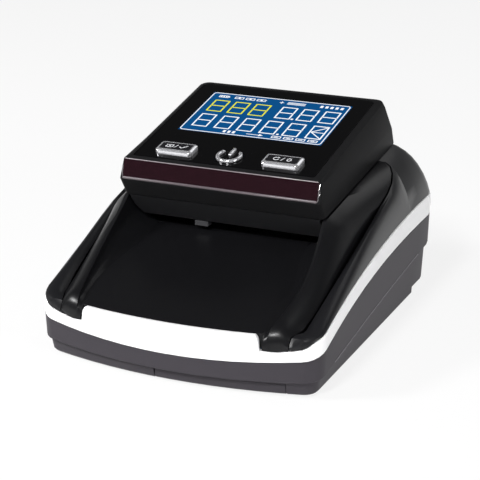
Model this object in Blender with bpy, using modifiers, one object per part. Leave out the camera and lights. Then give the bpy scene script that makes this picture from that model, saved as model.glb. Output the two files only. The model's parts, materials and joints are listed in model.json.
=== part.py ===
"""Compact banknote counting machine: a feed tray in front of a flip-up head with a display and three keys.

Run it with blender --background --python part.py, or from Blender's text editor.
The front is -Y, the right-hand side is +X and the machine stands on Z = 0. Lengths are in metres.
"""

import math

import bmesh
import bpy
from mathutils import Matrix, Vector

# Clearances.
SEAM = 0.0003
RUNNING_GAP = 0.0003
SWING_GAP = 0.0008
REST_GAP = 0.0004

# Body in plan: bow front, flared sides, round corners.
NOTE_PATH_WIDTH = 0.0892
SHOULDER_FRONT = 0.0185
SHOULDER_REAR = 0.0174
HEAD_REAR_MARGIN = 0.0157
BOW_RADIUS = 0.210
FRONT_CORNER = 0.0094
REAR_CORNER = 0.014
WALL = 0.0022

# Base tub.
GROUND_GAP = 0.0010
FLOOR = 0.0026
TIER_STEP = 0.0020
TIER_DRAFT = 0.0010
EDGE = 0.0008
CREASE_FRONT = 0.0055
CREASE_REAR = 0.0215
CREASE_SWEEP = 1.4
REAR_STEP_LENGTH = 0.026
REAR_STEP_HEIGHT = 0.0036

# White band and its front lip.
BAND_LOW_FRONT = 0.0133
BAND_LOW_SWEEP = 2.85
BAND_FRONT = 0.0074
BAND_REAR = 0.0100
BAND_TOP_SWEEP = 2.45
BAND_RISE = 0.0019
BAND_DIP = 0.0029
BAND_DIP_LENGTH = 0.0115
BAND_BULGE = 0.0003
LIP_HEIGHT = 0.0264
LIP_SIDE_MARGIN = 0.0052
LIP_ROUND = 0.0014

# Note path.
PATH_HEIGHT = 0.044
PATH_GAP = 0.0025
SLOT_HEIGHT = 0.0048
TRAY_DEPTH = 0.0638
GUIDE_PLATE = 0.0020

# Shoulders: the outer lobe, the groove beside it and the inner wall of the tray.
LOBE_INSET = 0.0037
LOBE_RISE = 0.0035
LOBE_SLOPE = 0.388
GROOVE_OUT = 0.0094
GROOVE_DROP = 0.0027
GROOVE_SLOPE = 0.316
GROOVE_RAISE = 0.0042
GROOVE_LEAN = 0.64
GROOVE_WIDTH = 0.0008
GROOVE_NOSE = 0.0030
NOSE_FILL = 0.0026
PILLAR_STEP = 0.0024
PILLAR_HEIGHT = 0.0287
PILLAR_ROUND = 0.0070
TRAY_FLARE = 0.0022
TRAY_FILLET = 0.0090
TRAY_SKIN = 0.0018
HUMP_FULLNESS = 0.6
DECK_FROM_HEAD_REAR = 0.0240
CURL_LENGTH = 0.0170

# Head.
THROAT_DEPTH = 0.0080
HEAD_BASE_LENGTH = 0.0905
HEAD_RISE_FRONT = 0.0152
HEAD_RISE_REAR = 0.0262
HEAD_WALL = 0.0022
FASCIA_OVERHANG = 0.0050
FASCIA_DROP = 0.0079
FASCIA_HEIGHT = 0.0095
FASCIA_LEAN = 0.0027
FASCIA_THICK = 0.0013
PANEL_REAR_MARGIN = 0.0161
PANEL_TILT = math.radians(11.7)
PANEL_THICK = 0.0016
HEAD_SIDE_ROUND = 0.0040
HEAD_FRONT_ROUND = 0.0008
HEAD_FRONT_CORNER = 0.0020
HEAD_REAR_CORNER = 0.0040
RIM_WIDTH = 0.0010
LEDGE_WIDTH = 0.0010
LEDGE_THICK = 0.0012
GUIDE_SKIN = 0.0018
GUIDE_TOP_RISE = 0.0050
PANEL_POST = 0.0040

# Hinge of the head.
HINGE_BACK = 0.0010
HINGE_DROP = 0.0010
KNUCKLE_RADIUS = 0.0026
KNUCKLE_LENGTH = 0.0060
KNUCKLE_PLACE = 0.0300
HINGE_PIN_RADIUS = 0.0015

# Display and keys, on the panel.
DISPLAY_SIDE_MARGIN = 0.0126
DISPLAY_REAR_MARGIN = 0.0086
DISPLAY_FROM_FRONT = 0.0298
MODULE_MARGIN = 0.0032
MODULE_THICK = 0.0040
BOARD_THICK = 0.0016
KEY_FROM_FRONT = 0.0102
KEY_SIDE_MARGIN = 0.0218
KEY_WIDTH = 0.0176
KEY_DEPTH = 0.0092
KEY_HEIGHT = 0.0022
KEY_TRAVEL = 0.0012
KEY_FLANGE = 0.0018
KEY_FLANGE_THICK = 0.0010
KEY_STEM = 0.0005
POWER_FLANGE = 0.0008
POWER_RADIUS = 0.0064
SYMBOL_RADIUS = 0.0056
SYMBOL_STROKE = 0.0016

# Drive: shafts, rollers, gears and motor.
ROLLER_RADIUS = 0.0100
ROLLER_WIDTH = 0.0120
ROLLER_SIDE_MARGIN = 0.0206
ROLLER_PROUD = 0.0010
SHAFT_RADIUS = 0.0030
REAR_SHAFT_FROM_HEAD_REAR = 0.0130
GEAR_MODULE = 0.0010
SHAFT_TEETH = 20
IDLER_TEETH = 24
PINION_TEETH = 10
GEAR_WIDTH = 0.0030
BACKLASH = 0.0003
PINCH_RADIUS = 0.0060
PINCH_PIN_RADIUS = 0.0020
BLOCK_WIDTH = 0.0030
SPRING_WIDTH = 0.0050
SPRING_THICK = 0.0005
PLATE_THICK = 0.0015
PLATE_MARGIN = 0.0060
BUSH_WALL = 0.0012
BUSH_FLANGE = 0.0013
BUSH_FLANGE_THICK = 0.0010
IDLER_PIN_RADIUS = 0.0020
RIVET_HEAD = 0.0015
MOTOR_RADIUS = 0.0105
MOTOR_LENGTH = 0.0325
MOTOR_SHAFT_RADIUS = 0.0012

# Sensors.
SENSOR_SIDE_MARGIN = 0.0106
SENSOR_WIDTH = 0.0080
SENSOR_FLANGE = 0.0012
MAGNET_SIDE_MARGIN = 0.0246
MAGNET_WIDTH = 0.0040
MAGNET_FROM_ROLLER = 0.0120
ENTRY_SENSOR_WIDTH = 0.0063
ENTRY_SENSOR_X = -0.0136
ENTRY_SENSOR_DROP = 0.0024

# Battery and its door.
DOOR_WIDTH = 0.0550
DOOR_SIDE_MARGIN = 0.0141
DOOR_FACE = 0.0045
DOOR_THICK = 0.0012
DOOR_REAR_FROM_FRONT = 0.0540
DOOR_LEDGE = 0.0032
BATTERY_HEIGHT = 0.0095
BAY_WALL = 0.0012

# Feet, screws, boards and sockets.
FOOT_WIDTH = 0.0050
FOOT_LENGTH = 0.0220
FOOT_RECESS = 0.0010
FOOT_SIDE_MARGIN = 0.0046
FOOT_FRONT_FROM_SLOT = -0.0315
FOOT_REAR_FROM_SLOT = 0.0505
SCREW_HEAD_RADIUS = 0.0026
SCREW_HEAD_THICK = 0.0016
SCREW_RADIUS = 0.0014
SCREW_LENGTH = 0.0085
BOSS_RADIUS = 0.0040
SCREW_SIDE_MARGIN = 0.0110
SCREW_FRONT_FROM_SLOT = -0.0005
SCREW_REAR_FROM_REAR = 0.0125
BOARD_LENGTH = 0.0740
BOARD_WIDTH = 0.0440
BOARD_SIDE_MARGIN = 0.0026
BOARD_HEIGHT = 0.0215
BOARD_REAR_MARGIN = 0.0070
BOARD_CORNER = 0.0020
POST_RADIUS = 0.0025
JACK_RADIUS = 0.0040
JACK_BODY_RADIUS = 0.0052
JACK_BORE_RADIUS = 0.0032
JACK_PIN_RADIUS = 0.0010
JACK_LENGTH = 0.0150
JACK_X = -0.0350
PORT_X = -0.0150
PORT_WIDTH = 0.0090
PORT_HEIGHT = 0.0038
PORT_LENGTH = 0.0105
PORT_SHELL = 0.0006
BUZZER_RADIUS = 0.0060
BUZZER_HEIGHT = 0.0080

# Facet counts.
ROUND_STEPS = 16
POWER_STEPS = 24
CORNER_STEPS = 5
STRAIGHT_STEPS = 8
CURL_STEPS = 4
HUMP_STEPS = 3
REAR_STEPS = 3
SIDE_STEPS = STRAIGHT_STEPS + CURL_STEPS + HUMP_STEPS

# Places that follow from the sizes above.
HALF_PATH = NOTE_PATH_WIDTH / 2
ROLLER_SPACING = 2 * (HALF_PATH - ROLLER_SIDE_MARGIN)
SENSOR_LENGTH = 2 * (HALF_PATH - SENSOR_SIDE_MARGIN)
MAGNET_LENGTH = 2 * (HALF_PATH - MAGNET_SIDE_MARGIN)
LIP_WIDTH = 2 * (HALF_PATH - LIP_SIDE_MARGIN)
HALF_FRONT = HALF_PATH + SHOULDER_FRONT
HALF_REAR = HALF_PATH + SHOULDER_REAR
DOOR_CENTRE = HALF_FRONT - DOOR_SIDE_MARGIN - DOOR_WIDTH / 2
BODY_DEPTH = TRAY_DEPTH - THROAT_DEPTH + HEAD_BASE_LENGTH + HEAD_REAR_MARGIN
FRONT_Y = -BODY_DEPTH / 2
REAR_Y = BODY_DEPTH / 2
SLOT_Y = FRONT_Y + TRAY_DEPTH
FLOOR_Z = GROUND_GAP + FLOOR
REAR_FLOOR_Z = FLOOR_Z + REAR_STEP_HEIGHT
REAR_STEP_Y = REAR_Y - REAR_STEP_LENGTH

HEAD_FRONT_Y = SLOT_Y - THROAT_DEPTH
HEAD_REAR_Y = HEAD_FRONT_Y + HEAD_BASE_LENGTH
HEAD_FRONT_Z = PATH_HEIGHT + HEAD_RISE_FRONT
HEAD_REAR_Z = PATH_HEIGHT + HEAD_RISE_REAR
HEAD_INNER = HALF_PATH - SWING_GAP + SEAM
HEAD_HALF = HEAD_INNER + HEAD_WALL
DISPLAY_WIDTH = 2 * (HEAD_HALF - DISPLAY_SIDE_MARGIN)
KEY_SPACING = 2 * (HEAD_HALF - KEY_SIDE_MARGIN)
FASCIA_Y = HEAD_FRONT_Y - FASCIA_OVERHANG
FASCIA_Z = HEAD_FRONT_Z + FASCIA_DROP
PANEL_Y = FASCIA_Y + FASCIA_LEAN
PANEL_Z = FASCIA_Z + FASCIA_HEIGHT
PANEL_REAR_Y = HEAD_REAR_Y - PANEL_REAR_MARGIN
PANEL_LENGTH = (PANEL_REAR_Y - PANEL_Y) / math.cos(PANEL_TILT)
DISPLAY_HEIGHT = PANEL_LENGTH - DISPLAY_FROM_FRONT - DISPLAY_REAR_MARGIN
HINGE_Y = HEAD_REAR_Y + HINGE_BACK
HINGE_Z = HEAD_REAR_Z - HINGE_DROP

SHAFT_Z = PATH_HEIGHT + ROLLER_PROUD - ROLLER_RADIUS
GEAR_SPACING = GEAR_MODULE * (SHAFT_TEETH + IDLER_TEETH) / 2
REAR_SHAFT_Y = HEAD_REAR_Y - REAR_SHAFT_FROM_HEAD_REAR
IDLER_Y = REAR_SHAFT_Y - GEAR_SPACING
FRONT_SHAFT_Y = IDLER_Y - GEAR_SPACING
MOTOR_Z = SHAFT_Z - GEAR_MODULE * (IDLER_TEETH + PINION_TEETH) / 2
PINCH_Z = PATH_HEIGHT + ROLLER_PROUD + SEAM + PINCH_RADIUS
PLATE_IN = HALF_PATH + TRAY_SKIN + 2 * SEAM
PLATE_OUT = PLATE_IN + PLATE_THICK
GEAR_IN = PLATE_OUT + SWING_GAP
GEAR_OUT = GEAR_IN + GEAR_WIDTH
GUIDE_FRONT_Y = SLOT_Y + SLOT_HEIGHT
DECK_REAR_Y = HEAD_REAR_Y - DECK_FROM_HEAD_REAR
CURL_START_Y = DECK_REAR_Y - CURL_LENGTH

PARTS = bpy.data.collections.new("banknote_counter")
CUTTERS = bpy.data.collections.new("cutters")

# Finish of each kind of surface: sRGB colour, roughness, metallic.
FINISHES = {
    "black_satin": ((0x20, 0x1F, 0x22), 0.42, 0.0),
    "black_gloss": ((0x0A, 0x0A, 0x0C), 0.08, 0.0),
    "fascia_red": ((0x26, 0x14, 0x1A), 0.12, 0.0),
    "base_grey": ((0x4A, 0x48, 0x4C), 0.55, 0.0),
    "band_white": ((0xF4, 0xF4, 0xF4), 0.18, 0.0),
    "display_blue": ((0x0A, 0x4F, 0xA8), 0.20, 0.0),
    "window": ((0xD8, 0xE4, 0xF2), 0.05, 0.0),
    "key_metal": ((0xB8, 0xB8, 0xBC), 0.20, 1.0),
    "steel": ((0x9A, 0x9C, 0xA0), 0.30, 1.0),
    "bronze": ((0x9C, 0x76, 0x46), 0.40, 1.0),
    "rubber": ((0x2B, 0x2B, 0x2D), 0.85, 0.0),
    "nylon": ((0xE2, 0xDF, 0xD4), 0.45, 0.0),
    "board_green": ((0x1E, 0x5A, 0x34), 0.50, 0.0),
    "sensor_grey": ((0x5A, 0x5A, 0x5E), 0.25, 0.0),
    "silicone": ((0xB9, 0xBC, 0xC0), 0.70, 0.0),
    "battery_sleeve": ((0x2A, 0x5C, 0x9A), 0.40, 0.0),
}


# Small helpers.
def clear_scene():
    for old in list(bpy.data.objects):
        bpy.data.objects.remove(old, do_unlink=True)


def linear(channel):
    value = channel / 255
    return value / 12.92 if value <= 0.04045 else ((value + 0.055) / 1.055) ** 2.4


def finish(name):
    """The Principled material of one kind of surface."""
    material = bpy.data.materials.get(name)
    if material:
        return material
    colour, roughness, metallic = FINISHES[name]
    material = bpy.data.materials.new(name)
    material.use_nodes = True
    shader = material.node_tree.nodes["Principled BSDF"]
    rgba = [linear(channel) for channel in colour] + [1.0]
    shader.inputs["Base Color"].default_value = rgba
    shader.inputs["Roughness"].default_value = roughness
    shader.inputs["Metallic"].default_value = metallic
    material.diffuse_color = rgba
    return material


def place(name, data, look):
    """A named piece of the machine; with no look it is a cutter."""
    piece = bpy.data.objects.new(name, data)
    if look:
        data.materials.append(finish(look))
        PARTS.objects.link(piece)
    else:
        CUTTERS.objects.link(piece)
        piece.hide_render = True
        piece.display_type = "WIRE"
    return piece


def mesh_piece(name, shape, look, outward=True):
    if outward:
        bmesh.ops.recalc_face_normals(shape, faces=shape.faces)
    mesh = bpy.data.meshes.new(name)
    shape.to_mesh(mesh)
    shape.free()
    if look:
        mesh.shade_smooth()
        mesh.set_sharp_from_angle(angle=math.radians(35))
    return place(name, mesh, look)


def carry(empty, *pieces):
    """Hangs pieces on an empty without moving them."""
    bpy.context.view_layer.update()
    for piece in pieces:
        piece.parent = empty
        piece.matrix_parent_inverse = empty.matrix_world.inverted()


def pivot(name, location, tilt=0.0):
    empty = bpy.data.objects.new(name, None)
    empty.location = location
    empty.rotation_euler = (tilt, 0, 0)
    PARTS.objects.link(empty)
    return empty


def combine(piece, other, operation):
    modifier = piece.modifiers.new(f"{operation.lower()}_{other.name}", "BOOLEAN")
    modifier.operation = operation
    modifier.object = other


def cut(piece, *cutters):
    for cutter in cutters:
        combine(piece, cutter, "DIFFERENCE")


def join(piece, *others):
    for other in others:
        combine(piece, other, "UNION")


def box(name, low, high, look=None):
    """A block between two corners."""
    low, high = Vector(low), Vector(high)
    shape = bmesh.new()
    size = Matrix.Diagonal(high - low).to_4x4()
    bmesh.ops.create_cube(shape, matrix=Matrix.Translation((low + high) / 2) @ size)
    return mesh_piece(name, shape, look)


def rod(name, radius, start, end, look=None, steps=ROUND_STEPS):
    """A round bar from one point to another."""
    start, end = Vector(start), Vector(end)
    along = end - start
    turn = along.to_track_quat("Z", "Y").to_matrix().to_4x4()
    shape = bmesh.new()
    bmesh.ops.create_cone(
        shape,
        cap_ends=True,
        segments=steps,
        radius1=radius,
        radius2=radius,
        depth=along.length,
        matrix=Matrix.Translation((start + end) / 2) @ turn,
    )
    return mesh_piece(name, shape, look)


def prism(name, outline, low, high, axis, look=None):
    """An outline pushed along X, Y or Z. It is drawn in the other two, in that order."""

    def point(first, second, along):
        return {"X": (along, first, second), "Y": (first, along, second), "Z": (first, second, along)}[axis]

    shape = bmesh.new()
    face = shape.faces.new([shape.verts.new(point(a, b, low)) for a, b in outline])
    pushed = bmesh.ops.extrude_face_region(shape, geom=[face])
    moved = [item for item in pushed["geom"] if isinstance(item, bmesh.types.BMVert)]
    bmesh.ops.translate(shape, verts=moved, vec=Vector(point(0, 0, high)) - Vector(point(0, 0, low)))
    return mesh_piece(name, shape, look)


def loft(name, rings, look=None, closed=False):
    """Rings of equal count joined in turn, closed on the first ring or capped at both ends."""
    shape = bmesh.new()
    loops = [[shape.verts.new(point) for point in ring] for ring in rings]
    pairs = list(zip(loops, loops[1:] + loops[:1] if closed else loops[1:]))
    for lower, upper in pairs:
        for i in range(len(lower)):
            j = (i + 1) % len(lower)
            shape.faces.new((lower[i], lower[j], upper[j], upper[i]))
    if not closed:
        shape.faces.new(reversed(loops[0]))
        shape.faces.new(loops[-1])
    return mesh_piece(name, shape, look)


def slab(name, outer, inner, look):
    """A shell between two grids of points: its outer side, its inner side and the four edges."""
    shape = bmesh.new()
    grids = [[[shape.verts.new(point) for point in row] for row in rows] for rows in (outer, inner)]
    for grid in grids:
        for row, following in zip(grid, grid[1:]):
            for i in range(len(row) - 1):
                shape.faces.new((row[i], row[i + 1], following[i + 1], following[i]))
    over, under = grids
    edges = [(over[0], under[0]), (over[-1], under[-1])]
    edges += [([row[end] for row in over], [row[end] for row in under]) for end in (0, -1)]
    for line, other in edges:
        for i in range(len(line) - 1):
            shape.faces.new((line[i], line[i + 1], other[i + 1], other[i]))
    return mesh_piece(name, shape, look)


def turned(name, profile, location, look, toward=(1, 0, 0), steps=ROUND_STEPS):
    """A turned piece. The profile is (distance along the axis, radius), from its far end back."""
    mesh = bpy.data.meshes.new(name)
    points = [(radius, 0, along) for along, radius in profile]
    edges = [(i, i + 1) for i in range(len(points) - 1)]
    if profile[0][1] > 0:
        edges.append((len(points) - 1, 0))
    mesh.from_pydata(points, edges, [])
    piece = place(name, mesh, look)
    piece.location = location
    piece.rotation_euler = Vector(toward).to_track_quat("Z", "Y").to_euler()
    spin = piece.modifiers.new("turn", "SCREW")
    spin.axis = "Z"
    spin.steps = steps
    spin.render_steps = steps
    spin.use_merge_vertices = True
    spin.merge_threshold = 0.00001
    spin.use_smooth_shade = False
    return piece


def sheet(name, outlines, thickness, look, location=(0, 0, 0), rotation=(0, 0, 0)):
    """A flat piece with its holes: closed outlines filled and thickened about their plane."""
    curve = bpy.data.curves.new(name, "CURVE")
    curve.dimensions = "2D"
    curve.fill_mode = "BOTH"
    curve.extrude = thickness / 2
    for outline in outlines:
        spline = curve.splines.new("POLY")
        spline.points.add(len(outline) - 1)
        for point, (x, y) in zip(spline.points, outline):
            point.co = (x, y, 0, 1)
        spline.use_cyclic_u = True
    piece = place(name, curve, look)
    piece.location = location
    piece.rotation_euler = rotation
    return piece


def circle(x, y, radius, steps=ROUND_STEPS):
    turns = [math.tau * i / steps for i in range(steps)]
    return [(x + radius * math.cos(turn), y + radius * math.sin(turn)) for turn in turns]


def rectangle(low_x, low_y, high_x, high_y, radius=0.0, steps=3):
    """A rectangle with round corners, as a list of points."""
    if radius <= 0:
        return [(low_x, low_y), (high_x, low_y), (high_x, high_y), (low_x, high_y)]
    points = []
    corners = ((high_x, low_y, -1, 1), (high_x, high_y, -1, -1), (low_x, high_y, 1, -1), (low_x, low_y, 1, 1))
    for quarter, (x, y, to_x, to_y) in enumerate(corners):
        for i in range(steps + 1):
            turn = math.pi / 2 * (quarter - 1 + i / steps)
            points.append(
                (x + radius * (to_x + math.cos(turn)), y + radius * (to_y + math.sin(turn)))
            )
    return points


def raised(outline, height):
    return [(x, y, height) for x, y in outline]


def chord(radius, height):
    """Half the width of a circle at a height from its centre."""
    return math.sqrt(max(radius * radius - height * height, 0))


def smooth(value):
    value = min(max(value, 0.0), 1.0)
    return value * value * (3 - 2 * value)


def blend(start, end, share):
    return start + (end - start) * share


# Plan of the body.
def half_width(y):
    return blend(HALF_FRONT, HALF_REAR, (y - FRONT_Y) / BODY_DEPTH)


FLARE = (HALF_REAR - HALF_FRONT) / BODY_DEPTH
FLARE_STRETCH = math.hypot(1, FLARE)
BOW_CENTRE_Y = FRONT_Y + BOW_RADIUS


def front_corner_centre():
    """Centre of the round corner that joins the bow and the side."""
    offset = half_width(0) - FRONT_CORNER * FLARE_STRETCH
    reach = BOW_RADIUS - FRONT_CORNER
    a = 1 + FLARE * FLARE
    b = offset * FLARE - BOW_CENTRE_Y
    c = offset * offset + BOW_CENTRE_Y * BOW_CENTRE_Y - reach * reach
    y = (-b - math.sqrt(b * b - a * c)) / a
    return offset + FLARE * y, y


FRONT_CORNER_X, FRONT_CORNER_Y = front_corner_centre()
REAR_CORNER_Y = REAR_Y - REAR_CORNER
REAR_CORNER_X = half_width(REAR_CORNER_Y) - REAR_CORNER * FLARE_STRETCH
BOW_END = math.atan2(FRONT_CORNER_X, BOW_CENTRE_Y - FRONT_CORNER_Y)
SIDE_TURN = -math.atan(FLARE)


def bow_stations():
    """Angles across half the bow, each with the share of the lip's height that the band has there."""
    lip = LIP_WIDTH / 2
    flat = lip - LIP_ROUND
    steps = [(flat * share, 1.0) for share in (0, 0.25, 0.5, 0.75, 1.0)]
    steps += [(lip - LIP_ROUND * 0.3, 0.8), (lip, 0.4), (lip + SEAM, 0.0)]
    stations = [(math.asin(x / BOW_RADIUS), share) for x, share in steps]
    last = stations[-1][0]
    return stations + [(blend(last, BOW_END, 0.5), 0.0), (BOW_END, 0.0)]


BOW = bow_stations()


def side_stations():
    """Depths of the points along a side: even at first, closer along the curl of the groove."""
    depths = [blend(FRONT_CORNER_Y, CURL_START_Y, (i + 1) / STRAIGHT_STEPS) for i in range(STRAIGHT_STEPS)]
    for i in range(CURL_STEPS):
        turn = math.radians(80) * (i + 1) / CURL_STEPS
        depths.append(blend(CURL_START_Y, DECK_REAR_Y, math.sin(turn)))
    first = depths[-1] + GROOVE_WIDTH
    return depths + [blend(first, REAR_CORNER_Y, i / (HUMP_STEPS - 1)) for i in range(HUMP_STEPS - 1)]


SIDE = side_stations()


def plan(inset):
    """Closed outline of the body drawn in by inset, from the front centre round by the right."""
    bow = BOW_RADIUS - inset
    right = [(bow * math.sin(turn), BOW_CENTRE_Y - bow * math.cos(turn)) for turn, _ in BOW]
    radius = FRONT_CORNER - inset
    for i in range(1, CORNER_STEPS + 1):
        turn = blend(BOW_END - math.pi / 2, SIDE_TURN, i / CORNER_STEPS)
        right.append((FRONT_CORNER_X + radius * math.cos(turn), FRONT_CORNER_Y + radius * math.sin(turn)))
    radius = REAR_CORNER - inset
    start = right[-1]
    end = (REAR_CORNER_X + radius * math.cos(SIDE_TURN), REAR_CORNER_Y + radius * math.sin(SIDE_TURN))
    for y in SIDE:
        right.append((blend(start[0], end[0], (y - start[1]) / (end[1] - start[1])), y))
    for i in range(CORNER_STEPS + 1):
        turn = blend(SIDE_TURN, math.pi / 2, i / CORNER_STEPS)
        right.append((REAR_CORNER_X + radius * math.cos(turn), REAR_CORNER_Y + radius * math.sin(turn)))
    for i in range(1, REAR_STEPS + 1):
        right.append((REAR_CORNER_X * (1 - i / REAR_STEPS), REAR_Y - inset))
    left = [(-x, y) for x, y in reversed(right[1:-1])]
    return right + left


def bow_depth(x, inset):
    """Depth of the bow front at x, drawn in by inset."""
    radius = BOW_RADIUS - inset
    return BOW_CENTRE_Y - math.sqrt(radius * radius - x * x)


def plan_ring(inset, height):
    """The plan at an inset, each point at the height that the height function gives for its depth."""
    return [(x, y, height(y)) for x, y in plan(inset)]


def sweep(y, front, rear, power):
    """A height that climbs from front to rear, quickly at first."""
    share = min(max((y - FRONT_Y) / BODY_DEPTH, 0.0), 1.0)
    return rear - (rear - front) * (1 - share) ** power


def crease(y):
    return sweep(y, CREASE_FRONT, CREASE_REAR, CREASE_SWEEP)


def band_low(y):
    return sweep(y, BAND_LOW_FRONT, PATH_HEIGHT + BAND_RISE - BAND_REAR, BAND_LOW_SWEEP)


def band_top(y):
    """Top of the band. It stays low along the bow front and climbs from the corners on."""
    rise = sweep(y, BAND_LOW_FRONT + BAND_FRONT, PATH_HEIGHT + BAND_RISE, BAND_TOP_SWEEP)
    share = min(max((y - FRONT_Y) / BAND_DIP_LENGTH, 0.0), 1.0)
    return rise - BAND_DIP * math.sin(math.pi * share) ** 2


# Lines that the shoulders, tray and head share.
def head_base(y):
    return blend(HEAD_FRONT_Z, HEAD_REAR_Z, (y - HEAD_FRONT_Y) / HEAD_BASE_LENGTH)


def groove_raise(y):
    """How far the groove lies up the shoulder: nothing at the nose, all of it from the slot on."""
    share = min(max((y - FRONT_CORNER_Y) / (SLOT_Y - FRONT_CORNER_Y), 0.0), 1.0)
    return GROOVE_RAISE * share**0.7


def groove_height(y):
    return PATH_HEIGHT - GROOVE_DROP + GROOVE_SLOPE * (y - SLOT_Y) + groove_raise(y)


def lobe_height(y):
    return PATH_HEIGHT + LOBE_RISE + LOBE_SLOPE * (y - SLOT_Y)


NOSE_Y = FRONT_CORNER_Y
GROOVE_FRONT_Y = bow_depth(HALF_PATH + GROOVE_OUT - GROOVE_NOSE, SEAM)


def groove_gap(y):
    """Half the width of the groove: a tight seam at the nose, open further back."""
    return blend(SEAM * 0.6, GROOVE_WIDTH / 2, smooth((y - GROOVE_FRONT_Y) / (2 * FRONT_CORNER)))


def front_rounding(distance):
    """How much of its height the moulding has at a distance behind the bow front."""
    back = min(max(distance / PILLAR_ROUND, 0.0), 1.0)
    return blend(0.35, 1.0, math.sqrt(1 - (1 - back) ** 2))


def groove_line(y):
    """Centre of the groove at a depth: (x, height). It turns in at the front and curls to the head."""
    nose = smooth((NOSE_Y - y) / FRONT_CORNER)
    curl = min(max((y - CURL_START_Y) / (DECK_REAR_Y - CURL_START_Y), 0.0), 1.0)
    out = HALF_PATH + GROOVE_OUT - GROOVE_NOSE * nose + GROOVE_LEAN * groove_raise(y)
    end = HEAD_HALF + GROOVE_WIDTH * 2
    x = blend(end, out, math.sqrt(1 - curl * curl))
    height = blend(groove_height(y) + NOSE_FILL * nose, head_base(y) - REST_GAP, curl * curl)
    return x, height


# Base tub with its white band.
def make_lower_shell():
    bottom = TIER_STEP + TIER_DRAFT
    rings = [
        plan_ring(bottom + EDGE, lambda y: GROUND_GAP),
        plan_ring(bottom, lambda y: GROUND_GAP + EDGE),
        plan_ring(TIER_STEP, lambda y: crease(y) - EDGE / 2),
        plan_ring(EDGE / 2, lambda y: crease(y) + EDGE),
        plan_ring(0, band_low),
        [(x, y, band_low(outer_y)) for (x, y), (_, outer_y) in zip(plan(WALL), plan(0))],
        plan_ring(WALL + EDGE / 2, lambda y: crease(y) + EDGE + WALL / 2),
        plan_ring(TIER_STEP + WALL, lambda y: crease(y) + EDGE / 2),
        plan_ring(bottom + WALL, lambda y: FLOOR_Z),
    ]
    shell = loft("lower_shell", rings, "base_grey")
    inset = bottom + WALL - EDGE
    riser_y = REAR_STEP_Y - FLOOR
    half = half_width(riser_y) - inset
    floor = [(half, riser_y)] + [(x, y) for x, y in plan(inset) if y > riser_y] + [(-half, riser_y)]
    join(shell, prism("rear_floor", floor, GROUND_GAP + FLOOR / 2, REAR_FLOOR_Z, "Z"))
    add_plinths(shell)
    add_bosses(shell)
    add_board_posts(shell)
    add_battery_bay(shell)
    wide = HALF_REAR + WALL
    low, high = (-wide, REAR_STEP_Y, -GROUND_GAP), (wide, REAR_Y + WALL, GROUND_GAP + REAR_STEP_HEIGHT)
    cut(shell, box("rear_undercut", low, high))
    cut_screw_holes(shell)
    cut_foot_recesses(shell)
    cut_door_pocket(shell)
    cut_sockets(shell)
    return shell


def make_trim_band():
    shares = [share for _, share in BOW]
    count = len(plan(0))
    lip_share = shares + [0.0] * (count - 2 * len(shares) + 1) + list(reversed(shares[1:]))

    low = [band_low(y) + SEAM for _, y in plan(0)]
    high = [blend(band_top(y), LIP_HEIGHT, share) for (_, y), share in zip(plan(0), lip_share)]

    def ring(inset, share, drop=0.0):
        points = zip(plan(inset), low, high)
        return [(x, y, blend(bottom, top, share) - drop) for (x, y), bottom, top in points]

    rings = [
        ring(0, 0),
        ring(-BAND_BULGE, 0.5),
        ring(0, 1, EDGE / 2),
        ring(EDGE / 2, 1),
        ring(WALL, 1),
        ring(WALL, 0),
    ]
    band = loft("trim_band", rings, "band_white", closed=True)
    cut(band, note_exit("band_exit", PATH_HEIGHT - SEAM))
    return band


def note_exit(name, low):
    """The way out for notes through the rear wall, from a height up to the top of the slot."""
    high = PATH_HEIGHT + SLOT_HEIGHT
    return box(name, (-HALF_PATH, HINGE_Y, low), (HALF_PATH, REAR_Y + WALL, high))


SIDE_PLATE_FRONT_Y = FRONT_SHAFT_Y - SHAFT_RADIUS - BUSH_WALL - BUSH_FLANGE - PLATE_MARGIN
SIDE_PLATE_REAR_Y = REAR_SHAFT_Y + SHAFT_RADIUS + BUSH_WALL + BUSH_FLANGE + PLATE_MARGIN
PLINTH_REAR_Y = REAR_STEP_Y - 2 * FLOOR
PLATE_FOOT_Z = FLOOR_Z + REAR_STEP_HEIGHT / 2


def add_plinths(shell):
    """Rails on the floor, each with a groove that a side plate stands in."""
    for side in (-1, 1):
        inner, outer = sorted((side * (PLATE_IN - PLATE_THICK), side * (PLATE_OUT + PLATE_THICK)))
        name = "right" if side > 0 else "left"
        rail = box(
            f"plinth_{name}",
            (inner, SIDE_PLATE_FRONT_Y - PLATE_THICK, FLOOR_Z - FLOOR / 2),
            (outer, REAR_STEP_Y, REAR_FLOOR_Z),
        )
        join(shell, rail)
        low, high = sorted((side * (PLATE_IN - SEAM), side * (PLATE_OUT + SEAM)))
        groove = box(
            f"plinth_groove_{name}",
            (low, SIDE_PLATE_FRONT_Y - SEAM, PLATE_FOOT_Z),
            (high, PLINTH_REAR_Y + SEAM, REAR_FLOOR_Z + FLOOR),
        )
        cut(shell, groove)


SCREW_FRONT_Y = SLOT_Y + SCREW_FRONT_FROM_SLOT
SCREW_REAR_Y = REAR_Y - SCREW_REAR_FROM_REAR


def screw_places():
    """Name, x, y and height of the outer face of the floor at each screw."""
    places = []
    rear_face = GROUND_GAP + REAR_STEP_HEIGHT
    for row, y, face in (("front", SCREW_FRONT_Y, GROUND_GAP), ("rear", SCREW_REAR_Y, rear_face)):
        for name, side in (("left", -1), ("right", 1)):
            places.append((f"{row}_{name}", side * (half_width(y) - SCREW_SIDE_MARGIN), y, face))
    return places


def add_bosses(shell):
    for name, x, y, face in screw_places():
        top = face + SCREW_HEAD_THICK + SCREW_LENGTH + 2 * FLOOR
        join(shell, rod(f"boss_{name}", BOSS_RADIUS, (x, y, face + FLOOR / 2), (x, y, top), steps=16))


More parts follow.
